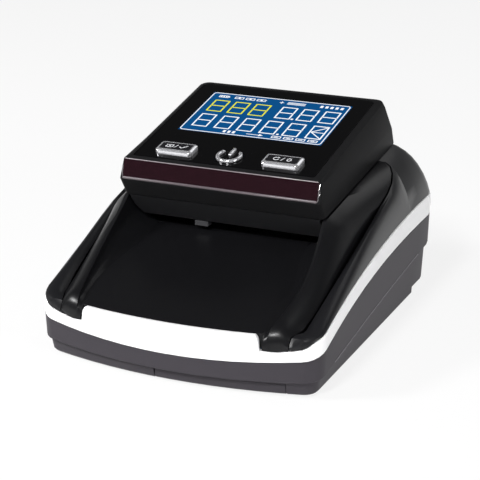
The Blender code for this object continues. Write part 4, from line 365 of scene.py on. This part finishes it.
# Settings that a user would change.
class HousingSettings(bpy.types.PropertyGroup):
    """Colours of the housing and the radius on its edges"""

    base_colour: bpy.props.FloatVectorProperty(
        name="Base colour",
        description="Matte grey of the base tub and the battery door",
        subtype="COLOR",
        size=3,
        min=0.0,
        max=1.0,
        default=linear("3F3C41"),
    )
    body_colour: bpy.props.FloatVectorProperty(
        name="Body colour",
        description="Satin black of the tray. The fairing is a shade paler",
        subtype="COLOR",
        size=3,
        min=0.0,
        max=1.0,
        default=linear("111113"),
    )
    band_colour: bpy.props.FloatVectorProperty(
        name="Band colour",
        description="Gloss white of the band and front lip",
        subtype="COLOR",
        size=3,
        min=0.0,
        max=1.0,
        default=linear("F8F8F9"),
    )
    edge: bpy.props.FloatProperty(
        name="Moulded edge",
        description="Radius on the outer edges of the mouldings",
        unit="LENGTH",
        min=0.0,
        max=0.001,
        default=0.00025,
    )


class PanelSettings(bpy.types.PropertyGroup):
    """Colours of the head's faces and the size of the digits"""

    panel_colour: bpy.props.FloatVectorProperty(
        name="Panel colour",
        description="Gloss black of the top panel",
        subtype="COLOR",
        size=3,
        min=0.0,
        max=1.0,
        default=linear("040405"),
    )
    strip_colour: bpy.props.FloatVectorProperty(
        name="Strip colour",
        description="Dark red-brown of the strip on the front of the head",
        subtype="COLOR",
        size=3,
        min=0.0,
        max=1.0,
        default=linear("1F0D13"),
    )
    display_colour: bpy.props.FloatVectorProperty(
        name="Display colour",
        description="Blue of the lit display",
        subtype="COLOR",
        size=3,
        min=0.0,
        max=1.0,
        default=linear("00508B"),
    )
    digit_colour: bpy.props.FloatVectorProperty(
        name="Digit colour",
        description="White of the lit digits",
        subtype="COLOR",
        size=3,
        min=0.0,
        max=1.0,
        default=linear("F4F8FC"),
    )
    accent_colour: bpy.props.FloatVectorProperty(
        name="Accent colour",
        description="Yellow of the first three digits",
        subtype="COLOR",
        size=3,
        min=0.0,
        max=1.0,
        default=linear("E6E622"),
    )
    digit_width: bpy.props.FloatProperty(
        name="Digit width",
        description="Width of one digit",
        unit="LENGTH",
        min=0.004,
        max=0.009,
        default=0.0074,
    )
    digit_stroke: bpy.props.FloatProperty(
        name="Digit stroke",
        description="Width of a digit's segments",
        unit="LENGTH",
        min=0.0004,
        max=0.0015,
        default=0.00064,
    )


class StageSettings(bpy.types.PropertyGroup):
    """Colour of the floor and place of the camera"""

    floor_colour: bpy.props.FloatVectorProperty(
        name="Floor colour",
        description="Pale floor under the machine",
        subtype="COLOR",
        size=3,
        min=0.0,
        max=1.0,
        default=linear("F6F6F6"),
    )
    camera_turn: bpy.props.FloatProperty(
        name="Camera turn",
        description="Angle of the camera round the machine, from its front",
        subtype="ANGLE",
        default=math.radians(23.98),
    )
    camera_rise: bpy.props.FloatProperty(
        name="Camera rise",
        description="Angle of the camera above the floor",
        subtype="ANGLE",
        default=math.radians(18.93),
    )
    camera_distance: bpy.props.FloatProperty(
        name="Camera distance",
        description="Distance from the camera to the middle of the machine",
        unit="LENGTH",
        default=0.7011,
    )


# Pieces.
class NOTECOUNTER_OT_housing(bpy.types.Operator):
    """Base tub and the line along its tier, battery door, white band, fairing and its ribs, feed tray"""

    bl_idname = "notecounter.housing"
    bl_label = "Housing"

    def execute(self, context):
        settings = context.scene.note_housing
        # Moulded ABS with a spark-eroded texture: matte, with a faint grain.
        # The grain is drawn at 0.9 mm so that it shows.
        grey = finish("abs_matte_grey", settings.base_colour, 0.5, 0.15, grain=0.9, depth=0.02)
        # Moulded ABS with a fine etched texture: broad soft highlights.
        # The etch is drawn at 0.8 mm so that it shows.
        black = finish("abs_satin_black", settings.body_colour, 0.3, 0.3, grain=0.8, depth=0.003)
        # Moulded ABS from a stoned tool: soft black with broad highlights on its noses.
        soft = finish("abs_soft_black", [1.6 * v for v in settings.body_colour], 0.33, 0.35)
        # Moulded ABS from a polished tool: clean white with a sharp sheen.
        white = finish("abs_gloss_white", settings.band_colour, 0.22, IOR=1.5)
        dress("lower_shell", grey, settings.edge)
        dress("battery_door", grey, settings.edge)
        dress("trim_band", white, settings.edge)
        dress("upper_shell", soft, settings.edge)
        dress("tray_deck", black, settings.edge)
        # Edge of the base's upper tier: a fine line, paler than the matte grey, a painted highlight
        # along the crease.
        pale = finish("abs_tier_painted_highlight", linear("87838A"), 0.4, IOR=1.5)
        for side, name in ((-1, "tier_edge_left"), (1, "tier_edge_right")):
            edge = tube(name, self.tier_edge(side), TIER_EDGE_RADIUS, Matrix(), 8)
            new_piece(name, edge, pale, "chassis")
        # Ribs behind the groove, where the fairing curls round the tray's shoulder.
        upright = Matrix.Rotation(math.pi / 2, 4, "X")
        for side, name in ((-1, "curl_rib_left"), (1, "curl_rib_right")):
            outline = [(side * x * MM, z * MM) for x, z in RIB_OUTLINE]
            rib = printed(name, [outline], -RIB_REAR, -RIB_FRONT, upright)
            new_piece(name, rib, soft, "chassis", False)
        return {"FINISHED"}

    def tier_edge(self, side):
        """Points along the lower edge of the base's upper tier, from front to rear."""
        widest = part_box("lower_shell")[1].x
        rim = {}
        for vertex in frame["nodes"]["lower_shell"].data.vertices:
            x, y, z = vertex.co
            if side * x > widest - TIER_EDGE_DEPTH and abs(y) < TIER_EDGE_REACH:
                key = round(y / MM)
                if key not in rim or z < rim[key].z:
                    rim[key] = Vector((x, y, z))
        return [rim[key] for key in sorted(rim)]


class NOTECOUNTER_OT_head(bpy.types.Operator):
    """Head housing, its guide, sensor, gloss panel and front strip with its beads and ends, pale as
    painted highlights
    """

    bl_idname = "notecounter.head"
    bl_label = "Head"

    def execute(self, context):
        settings = context.scene.note_panel
        edge = context.scene.note_housing.edge
        # Moulded ABS with an even matte etch: black with hardly any reflection.
        black = finish("abs_matte_black", linear("1D1D1E"), 0.35, 0.012)
        # The same with a coarser etch in the throat, made a shade paler as painted light on the shaded
        # throat.
        throat_painted_light = finish("abs_throat_black_painted_light", linear("262628"), 0.5, 0.1)
        # Cast acrylic, painted black on the back: deep black with mirror-like gloss.
        gloss = finish("acrylic_gloss_black", settings.panel_colour, 0.1, 0.2)
        # Tinted acrylic strip: dark red-brown with a clear gloss face.
        strip = finish("acrylic_dark_red", settings.strip_colour, 0.12, IOR=1.49)
        # Smoked polycarbonate over the sensor: grey with a soft gloss.
        smoked = finish("polycarbonate_smoked", linear("303033"), 0.4, IOR=1.58)
        dress("head_shell", black, edge)
        dress("upper_guide", throat_painted_light, edge)
        dress("top_panel", gloss, edge)
        dress("front_fascia", strip, edge)
        dress("entry_sensor", smoked, edge)
        self.strip_beads()
        self.strip_ends()
        return {"FINISHED"}

    def strip_beads(self):
        """A fine bead along the brow of the strip and a thicker one along its foot."""
        # Polished beads along the brow and foot of the strip, coloured pale grey: painted highlights on
        # its edges.
        bead = finish("abs_strip_brow_painted_highlight", linear("8C8488"), 0.2, IOR=1.5)
        lip = finish("abs_strip_foot_painted_highlight", linear("5E565A"), 0.3, IOR=1.5)
        low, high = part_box("front_fascia")
        half = high.x - BEAD_SHORT
        points = [vertex.co for vertex in frame["nodes"]["front_fascia"].data.vertices]
        brow = min(point.y for point in points if point.z > high.z - BROW_DEPTH)
        for name, material, y, z, radius in (
            ("strip_bead_top", bead, brow + 0.05 * MM, high.z, 0.22 * MM),
            ("strip_bead_foot", lip, low.y + 0.25 * MM, low.z + 0.4 * MM, 0.6 * MM),
        ):
            place = Matrix.Translation((0, y, z))
            mesh = tube(name, [(-half, 0, 0), (0, 0, 0), (half, 0, 0)], radius, place, 10)
            new_piece(name, mesh, material, "head")

    def strip_ends(self):
        """A slim lens-shaped bead at each end of the strip."""
        # Round ends of the strip in pale polished metal: a painted highlight on its rounded corners,
        # which also reflect the floor.
        end_highlight_metal = finish("strip_end_painted_highlight", linear("DCD8DC"), 0.12, Metallic=0.8)
        low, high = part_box("front_fascia")
        for side, name in ((-1, "strip_end_left"), (1, "strip_end_right")):
            rings = []
            for share, radius in END_PROFILE:
                y = low.y + (high.y - low.y) * share + END_BACK
                z = low.z + (high.z - low.z) * share
                outline = circle(radius * MM, END_POINTS, side * high.x, y)
                rings.append([(*point, z) for point in outline])
            mesh = closed_mesh(name, [rings], Matrix())
            new_piece(name, mesh, end_highlight_metal, "head")


class NOTECOUNTER_OT_display(bpy.types.Operator):
    """Lit display with its border, digits and small pictograms"""

    bl_idname = "notecounter.display"
    bl_label = "Display"

    def execute(self, context):
        settings = context.scene.note_panel
        blue, pale, accent = settings.display_colour, settings.digit_colour, settings.accent_colour
        # Backlit liquid crystal under polished glass: it glows evenly and keeps a glossy face.
        glass = finish("display_glass_blue", [0.15 * v for v in blue], 0.1, 0.15, **lit(blue, 0.78))
        # Segments that let the light through: even white and even yellow.
        white = finish("display_lit_white", [0.2] * 3, 0.3, **lit(pale, 0.9))
        yellow = finish("display_lit_yellow", [0.2 * v for v in accent], 0.3, **lit(accent, 0.9))
        dress("display_window", glass)
        dress("display_module", glass)
        centre, half, top = on_panel("display_window")
        place = PANEL @ Matrix.Translation((centre.x, centre.y, 0))

        # Border: a white line just inside the edge of the display.
        edge, line, turn = 0.2 * MM, 0.45 * MM, 1.6 * MM
        border = between(
            rounded(half.x - edge, half.y - edge, turn),
            rounded(half.x - edge - line, half.y - edge - line, turn - line),
        )

        first = -half.x + DIGITS_INSET
        form = (settings.digit_width, settings.digit_stroke)
        left = digits(first, UPPER_LEFT_STEP, 3, UPPER_ROW, form)
        rest = digits(UPPER_RIGHT_START, UPPER_RIGHT_STEP, 3, UPPER_ROW, form)
        rest.append(decimal_point(UPPER_POINT, UPPER_ROW))
        rest += digits(first, LOWER_STEP, LOWER_COUNT, LOWER_ROW, form)
        rest.append(decimal_point(first + LOWER_POINT, LOWER_ROW))
        rest += arrow_box(first + LOWER_COUNT * LOWER_STEP, *LOWER_ROW, *form)

        # The lit strokes are drawn just above the glass.
        for name, outlines, material in (
            ("display_border", border, white),
            ("display_digits_yellow", left, yellow),
            ("display_digits_white", rest, white),
            ("display_marks", pictograms(first, half.y), white),
        ):
            plates = printed(name, outlines, top + 0.005 * MM, top + 0.05 * MM, place)
            new_piece(name, plates, material, "head", False)
        return {"FINISHED"}


def digits(start, step, count, row, form):
    """Outlines of a row of digits."""
    outlines = []
    for i in range(count):
        outlines += digit(start + i * step, *row, *form)
    return outlines


def decimal_point(x, row):
    """Outline of the point beside the foot of a digit."""
    half, corner, rise = 0.55 * MM, 0.2 * MM, 0.5 * MM
    return rounded(half, half, corner, x, row[0] + rise, 2)


def digit(x, low, high, width, stroke):
    """Outlines of the seven segments of a digit with its left side at x."""
    gap = stroke * 0.12
    middle = (low + high) / 2
    left, right = x, x + width
    segments = []
    for y, turn in ((high, -1), (low, 1)):
        inner = y + turn * stroke
        segments.append(
            [
                (left + gap, y),
                (right - gap, y),
                (right - stroke - gap, inner),
                (left + stroke + gap, inner),
            ]
        )
    for edge, turn in ((left, 1), (right, -1)):
        inner = edge + turn * stroke
        for start, end, lean in ((middle, high, 1), (middle, low, -1)):
            segments.append(
                [
                    (edge, start + lean * gap),
                    (edge, end - lean * gap),
                    (inner, end - lean * (stroke + gap)),
                    (inner, start + lean * (stroke / 2 + gap)),
                ]
            )
    near, far = left + stroke * 0.7, right - stroke * 0.7
    segments.append(
        [
            (near, middle),
            (near + stroke / 2, middle - stroke / 2),
            (far - stroke / 2, middle - stroke / 2),
            (far, middle),
            (far - stroke / 2, middle + stroke / 2),
            (near + stroke / 2, middle + stroke / 2),
        ]
    )
    return segments


def arrow_box(x, low, high, width, stroke):
    """A frame with an arrow head that points left."""
    middle = (low + high) / 2
    near, far = x + stroke * 1.4, x + width - stroke * 1.2
    strokes = hollow(width / 2, (high - low) / 2, stroke, x + width / 2, middle)
    strokes.append(bar((near, middle), (far, high - stroke * 1.6), stroke * 0.8))
    strokes.append(bar((near, middle), (far, low + stroke * 1.6), stroke * 0.8))
    strokes.append(bar((near + stroke, middle), (far, middle), stroke * 0.7))
    return strokes


def pictograms(first, half_y):
    """Small plain marks along the top and foot of the display."""
    line = 0.38 * MM
    tall = 1.0 * MM
    top = half_y - 3.5 * MM
    foot = -half_y + 2.7 * MM
    # A battery with three bars.
    marks = hollow(2.3 * MM, tall, line, first + 2.3 * MM, top)
    marks.append(bar((first + 4.6 * MM, top), (first + 5.2 * MM, top), tall))
    for i in range(3):
        x = first + (1.1 + 1.2 * i) * MM
        marks.append(bar((x, top - 0.5 * MM), (x, top + 0.5 * MM), 0.6 * MM))
    # Three notes.
    for i in range(3):
        x = first + (10.0 + 5.4 * i) * MM
        marks += hollow(2.2 * MM, tall, line, x, top)
        marks.append(rounded(0.55 * MM, 0.55 * MM, 0.5 * MM, x, top, 2))
    # A plus sign and a stack.
    x = 1.2 * MM
    marks.append(bar((x - tall, top), (x + tall, top), line))
    marks.append(bar((x, top - tall), (x, top - line / 2), line))
    marks.append(bar((x, top + line / 2), (x, top + tall), line))
    for i in range(3):
        y = top + (i - 1) * 0.85 * MM
        marks.append(bar((4.0 * MM, y), (12.6 * MM, y), line))
    # A row of counters.
    for i in range(5):
        x = (20.4 + 2.4 * i) * MM
        marks.append(bar((x, top - tall), (x, top + tall), 1.3 * MM))
    # Along the foot: three bars, an arrow and four labels.
    for i in range(3):
        x = (-12.4 + 2.2 * i) * MM
        marks.append(bar((x, foot - tall), (x, foot + tall), 1.2 * MM))
    marks.append(bar((-2.0 * MM, foot), (3.6 * MM, foot), line))
    marks.append([(3.8 * MM, foot - tall), (5.8 * MM, foot), (3.8 * MM, foot + tall)])
    for i in range(4):
        x = (12.0 + 5.6 * i) * MM
        marks += hollow(2.2 * MM, tall, line, x, foot)
        marks.append(bar((x - 0.9 * MM, foot), (x + 0.9 * MM, foot), line))
    return marks


class NOTECOUNTER_OT_keys(bpy.types.Operator):
    """Two framed keys with dark faces and the round power key"""

    bl_idname = "notecounter.keys"
    bl_label = "Keys"

    def execute(self, context):
        # Chrome plated on moulded ABS: a bright mirror.
        chrome = finish("chrome_plated", linear("E4E4E8"), 0.16, Metallic=0.75)
        # Moulded acrylic face, tinted: near black with gloss.
        face = finish("acrylic_key_face", linear("17171A"), 0.16, IOR=1.49)
        # Pad-printed ink: flat pale grey.
        ink = finish("ink_pale_grey", linear("D6D6DA"), 0.5)
        for node, body, marks in (
            ("left_button", "left_key", mode_marks()),
            ("right_button", "right_key", clear_marks()),
        ):
            centre, _, top = on_panel(node)
            place = PANEL @ Matrix.Translation((centre.x, centre.y, 0))
            # Frame: inset and corner radius in millimetres, and height.
            rings = []
            for inset, radius, z in (
                (0.0, 1.5, KEY_FOOT),
                (0.0, 1.5, top - 0.75 * MM),
                (0.2, 1.4, top - 0.45 * MM),
                (1.0, 1.0, top - 0.02 * MM),
                (1.2, 0.9, top),
                (1.35, 0.8, top - 0.05 * MM),
                (1.4, 0.8, top - 0.35 * MM),
            ):
                wide, deep = KEY_HALF_WIDTH - inset * MM, KEY_HALF_DEPTH - inset * MM
                rings.append([(x, y, z) for x, y in rounded(wide, deep, radius * MM)])
            mesh = closed_mesh(f"{body}_frame", [rings], place)
            cap = new_piece(f"{body}_frame", mesh, chrome, body)
            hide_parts(node)
            outline = rounded(KEY_HALF_WIDTH - FACE_INSET, KEY_HALF_DEPTH - FACE_INSET, FACE_CORNER)
            plate = printed(f"{body}_face", [outline], top - 0.34 * MM, top - 0.12 * MM, place)
            new_piece(f"{body}_face", plate, face, body, False)
            plate = printed(f"{body}_mark", marks, top - 0.115 * MM, top - 0.07 * MM, place)
            new_piece(f"{body}_mark", plate, ink, body, False)
        self.power_key(chrome)
        return {"FINISHED"}

    def power_key(self, chrome):
        """A low gloss disc with the power sign raised on it."""
        centre = on_panel("power_button")[0]
        place = PANEL @ Matrix.Translation((centre.x, centre.y, 0))
        gloss = bpy.data.materials["acrylic_gloss_black"]
        rings = []
        for radius, z in DISC_PROFILE:
            rings.append([(x, y, z * MM) for x, y in circle(radius * MM, DISC_POINTS)])
        mesh = closed_mesh("power_key_disc", [rings], place)
        disc = new_piece("power_key_disc", mesh, gloss, "power_key")
        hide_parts("power_button")
        arc = []
        for i in range(RING_STEPS + 1):
            turn = math.pi / 2 + RING_GAP + (math.tau - 2 * RING_GAP) * i / RING_STEPS
            arc.append((RING_REACH * math.cos(turn), RING_REACH * math.sin(turn), SIGN_HEIGHT))
        ring = tube("power_key_ring", arc, SIGN_RADIUS, place)
        new_piece("power_key_ring", ring, chrome, "power_key")
        stem = tube("power_key_stem", [(0, y, SIGN_HEIGHT) for y in STEM], SIGN_RADIUS, place)
        new_piece("power_key_stem", stem, chrome, "power_key")


def mode_marks():
    """A note, a stroke and a tick."""
    return [
        *hollow(1.75 * MM, 1.1 * MM, 0.42 * MM, -3.1 * MM, 0.0),
        rounded(0.5 * MM, 0.45 * MM, 0.4 * MM, -3.1 * MM, 0.0, 2),
        bar((-0.75 * MM, -1.35 * MM), (0.35 * MM, 1.35 * MM), 0.42 * MM),
        bar((1.45 * MM, 0.05 * MM), (2.6 * MM, -1.1 * MM), 0.52 * MM),
        bar((2.8 * MM, -0.92 * MM), (5.0 * MM, 1.28 * MM), 0.52 * MM),
    ]


def clear_marks():
    """A ring that ends in an arrow head, a stroke and a nought."""
    marks = []
    middle, reach, stroke, steps = -2.9 * MM, 1.15 * MM, 0.46 * MM, 16
    start, sweep, head = math.radians(70), math.radians(285), math.radians(58)
    for i in range(steps):
        edges = []
        for k in (i, i + 1):
            turn = start + sweep * k / steps
            for radius in (reach - stroke / 2, reach + stroke / 2):
                edges.append((middle + radius * math.cos(turn), radius * math.sin(turn)))
        marks.append([edges[0], edges[1], edges[3], edges[2]])
    x = middle + reach * math.cos(head) - 0.1 * MM
    y = reach * math.sin(head)
    marks.append([(x, y + 0.7 * MM), (x, y - 0.6 * MM), (x + 0.95 * MM, y)])
    marks.append(bar((-0.55 * MM, -1.35 * MM), (0.55 * MM, 1.35 * MM), 0.42 * MM))
    outer = rounded(1.0 * MM, 1.3 * MM, 0.9 * MM, 2.9 * MM)
    inner = rounded(0.55 * MM, 0.85 * MM, 0.5 * MM, 2.9 * MM)
    return marks + between(outer, inner)


class NOTECOUNTER_OT_works(bpy.types.Operator):
    """Feed rollers, gears, frame, motor, boards, battery, sockets and feet"""

    bl_idname = "notecounter.works"
    bl_label = "Works"

    def execute(self, context):
        looks = {
            # Turned or stamped steel: grey metal with a soft sheen.
            "steel": finish("steel_turned", linear("A2A4A8"), 0.32, Metallic=1.0),
            # Sintered bronze: dull brown-gold.
            "bronze": finish("bronze_sintered", linear("9C7646"), 0.45, Metallic=1.0),
            # Moulded rubber with ground faces: dull and dark.
            "rubber": finish("rubber_ground", linear("2B2B2D"), 0.75, grain=0.6, depth=0.02, IOR=1.52),
            # Moulded acetal: creamy white and waxy.
            "nylon": finish("acetal_moulded", linear("E2DFD4"), 0.38, IOR=1.48),
            # Glass fibre board under green solder mask: even satin green.
            "board_green": finish("board_solder_mask", linear("1E5A34"), 0.35, IOR=1.55),
            # Moulded silicone: pale grey and matte.
            "silicone": finish("silicone_moulded", linear("B9BCC0"), 0.6, IOR=1.41),
            # Shrink sleeve over cells: blue with a plastic gloss.
            "battery_sleeve": finish("sleeve_shrink_blue", linear("2A5C9A"), 0.25, IOR=1.54),
            # Polished acrylic sensor window: dark, clear gloss.
            "window": finish("acrylic_sensor_window", linear("2C3036"), 0.08, IOR=1.49),
        }
        black = bpy.data.materials["abs_satin_black"]
        for node, slot in SLOTS.items():
            if node not in OUTER_NODES:
                dress(node, looks.get(slot, black))
        return {"FINISHED"}


class NOTECOUNTER_OT_stage(bpy.types.Operator):
    """Pale floor, studio lamps, dim room and the camera"""

    bl_idname = "notecounter.stage"
    bl_label = "Stage"

    def execute(self, context):
        scene = context.scene
        scene.view_settings.view_transform = "Standard"
        self.floor(scene)
        self.room(scene)
        self.lamps(scene)
        self.camera(scene)
        return {"FINISHED"}

    def lamps(self, scene):
        """Square lamps that light the machine and stay out of the picture."""
        for name, place, size, power in LAMPS:
            data = bpy.data.lights.new(name, "AREA")
            data.size = size
            data.energy = power
            lamp = bpy.data.objects.new(name, data)
            lamp.location = place
            lamp.rotation_euler = (LAMP_AIM - Vector(place)).to_track_quat("-Z", "Y").to_euler()
            lamp.visible_camera = False
            scene.collection.objects.link(lamp)

    def camera(self, scene):
        """The camera, turned and raised round its target."""
        settings = scene.note_stage
        data = bpy.data.cameras.new("camera")
        data.lens = CAMERA_LENS
        data.sensor_width = CAMERA_SENSOR
        data.clip_start = CAMERA_NEAR
        camera = bpy.data.objects.new("camera", data)
        turn, rise = settings.camera_turn, settings.camera_rise
        level = math.cos(rise)
        away = Vector((math.sin(turn) * level, -math.cos(turn) * level, math.sin(rise)))
        camera.location = CAMERA_TARGET + away * settings.camera_distance
        camera.rotation_euler = (-away).to_track_quat("-Z", "Y").to_euler()
        scene.collection.objects.link(camera)
        scene.camera = camera

    def floor(self, scene):
        """A wide pale floor, white to the camera and in reflections, less the machine's soft shadow."""
        shape = bmesh.new()
        bmesh.ops.create_grid(shape, x_segments=1, y_segments=1, size=FLOOR_HALF)
        mesh = bpy.data.meshes.new("floor")
        shape.to_mesh(mesh)
        shape.free()
        # Pale card: even and matte.
        material = bpy.data.materials.new("floor_pale_card")
        material.use_nodes = True
        tree = material.node_tree
        tree.nodes.clear()
        colour = (*scene.note_stage.floor_colour, 1.0)
        card = add_node(tree, "ShaderNodeBsdfDiffuse", {"Color": colour})
        glow = add_node(tree, "ShaderNodeEmission", {"Color": WHITE, "Strength": 1.0})
        path = add_node(tree, "ShaderNodeLightPath")
        seen = add_node(
            tree,
            "ShaderNodeMath",
            operation="MAXIMUM",
            links=[(0, path.outputs["Is Camera Ray"]), (1, path.outputs["Is Glossy Ray"])],
        )
        shown = add_node(
            tree,
            "ShaderNodeMath",
            operation="MAXIMUM",
            links=[(0, seen.outputs["Value"]), (1, path.outputs["Is Transmission Ray"])],
        )
        share = add_node(
            tree,
            "ShaderNodeMath",
            {1: FLOOR_WHITE},
            operation="MULTIPLY",
            links=[(0, shown.outputs["Value"])],
        )
        mix = add_node(
            tree,
            "ShaderNodeMixShader",
            links=[
                ("Fac", share.outputs["Value"]),
                (1, card.outputs["BSDF"]),
                (2, glow.outputs["Emission"]),
            ],
        )
        add_node(tree, "ShaderNodeOutputMaterial", links=[("Surface", mix.outputs["Shader"])])
        mesh.materials.append(material)
        floor = bpy.data.objects.new("floor", mesh)
        scene.collection.objects.link(floor)

    def room(self, scene):
        """A dim, even room, white to the camera. In reflections the wall behind glows, fading up."""
        world = bpy.data.worlds.new("room")
        world.use_nodes = True
        tree = world.node_tree
        tree.nodes.clear()
        place = add_node(tree, "ShaderNodeTexCoord")
        axes = add_node(tree, "ShaderNodeSeparateXYZ", links=[("Vector", place.outputs["Generated"])])
        wall = add_node(tree, "ShaderNodeMapRange", WALL_FADE, [("Value", axes.outputs["Z"])])
        behind = add_node(tree, "ShaderNodeMapRange", WALL_BEHIND, [("Value", axes.outputs["Y"])])
        backdrop = add_node(
            tree,
            "ShaderNodeMath",
            operation="MULTIPLY",
            links=[(0, wall.outputs["Result"]), (1, behind.outputs["Result"])],
        )
        path = add_node(tree, "ShaderNodeLightPath")
        seen = add_node(
            tree,
            "ShaderNodeMath",
            operation="MULTIPLY",
            links=[(0, backdrop.outputs["Value"]), (1, path.outputs["Is Glossy Ray"])],
        )
        shown = add_node(
            tree,
            "ShaderNodeMath",
            operation="MAXIMUM",
            links=[(0, seen.outputs["Value"]), (1, path.outputs["Is Camera Ray"])],
        )
        level = add_node(
            tree,
            "ShaderNodeMath",
            {1: ROOM_LEVEL},
            operation="MAXIMUM",
            links=[(0, shown.outputs["Value"])],
        )
        dim = add_node(
            tree,
            "ShaderNodeBackground",
            {"Color": WHITE},
            [("Strength", level.outputs["Value"])],
        )
        add_node(tree, "ShaderNodeOutputWorld", links=[("Surface", dim.outputs["Background"])])
        scene.world = world


class NOTECOUNTER_PT_panel(bpy.types.Panel):
    """Lists the steps and their settings"""

    bl_idname = "NOTECOUNTER_PT_panel"
    bl_label = "Note counter"
    bl_space_type = "VIEW_3D"
    bl_region_type = "UI"
    bl_category = "Note counter"

    def draw(self, context):
        for group in GROUPS:
            settings = getattr(context.scene, group)
            for key in settings.__annotations__:
                self.layout.prop(settings, key)
        for operator in OPERATORS:
            self.layout.operator(operator.bl_idname)


OPERATORS = (
    NOTECOUNTER_OT_housing,
    NOTECOUNTER_OT_head,
    NOTECOUNTER_OT_display,
    NOTECOUNTER_OT_keys,
    NOTECOUNTER_OT_works,
    NOTECOUNTER_OT_stage,
)
GROUPS = {
    "note_housing": HousingSettings,
    "note_panel": PanelSettings,
    "note_stage": StageSettings,
}


def register():
    for group, kind in GROUPS.items():
        bpy.utils.register_class(kind)
        setattr(bpy.types.Scene, group, bpy.props.PointerProperty(type=kind))
    for operator in OPERATORS:
        bpy.utils.register_class(operator)
    bpy.utils.register_class(NOTECOUNTER_PT_panel)


def unregister():
    bpy.utils.unregister_class(NOTECOUNTER_PT_panel)
    for operator in reversed(OPERATORS):
        bpy.utils.unregister_class(operator)
    for group, kind in GROUPS.items():
        delattr(bpy.types.Scene, group)
        bpy.utils.unregister_class(kind)


def main():
    register()
    bpy.ops.notecounter.housing()
    bpy.ops.notecounter.head()
    bpy.ops.notecounter.display()
    bpy.ops.notecounter.keys()
    bpy.ops.notecounter.works()
    bpy.ops.notecounter.stage()


if __name__ == "__main__":
    main()
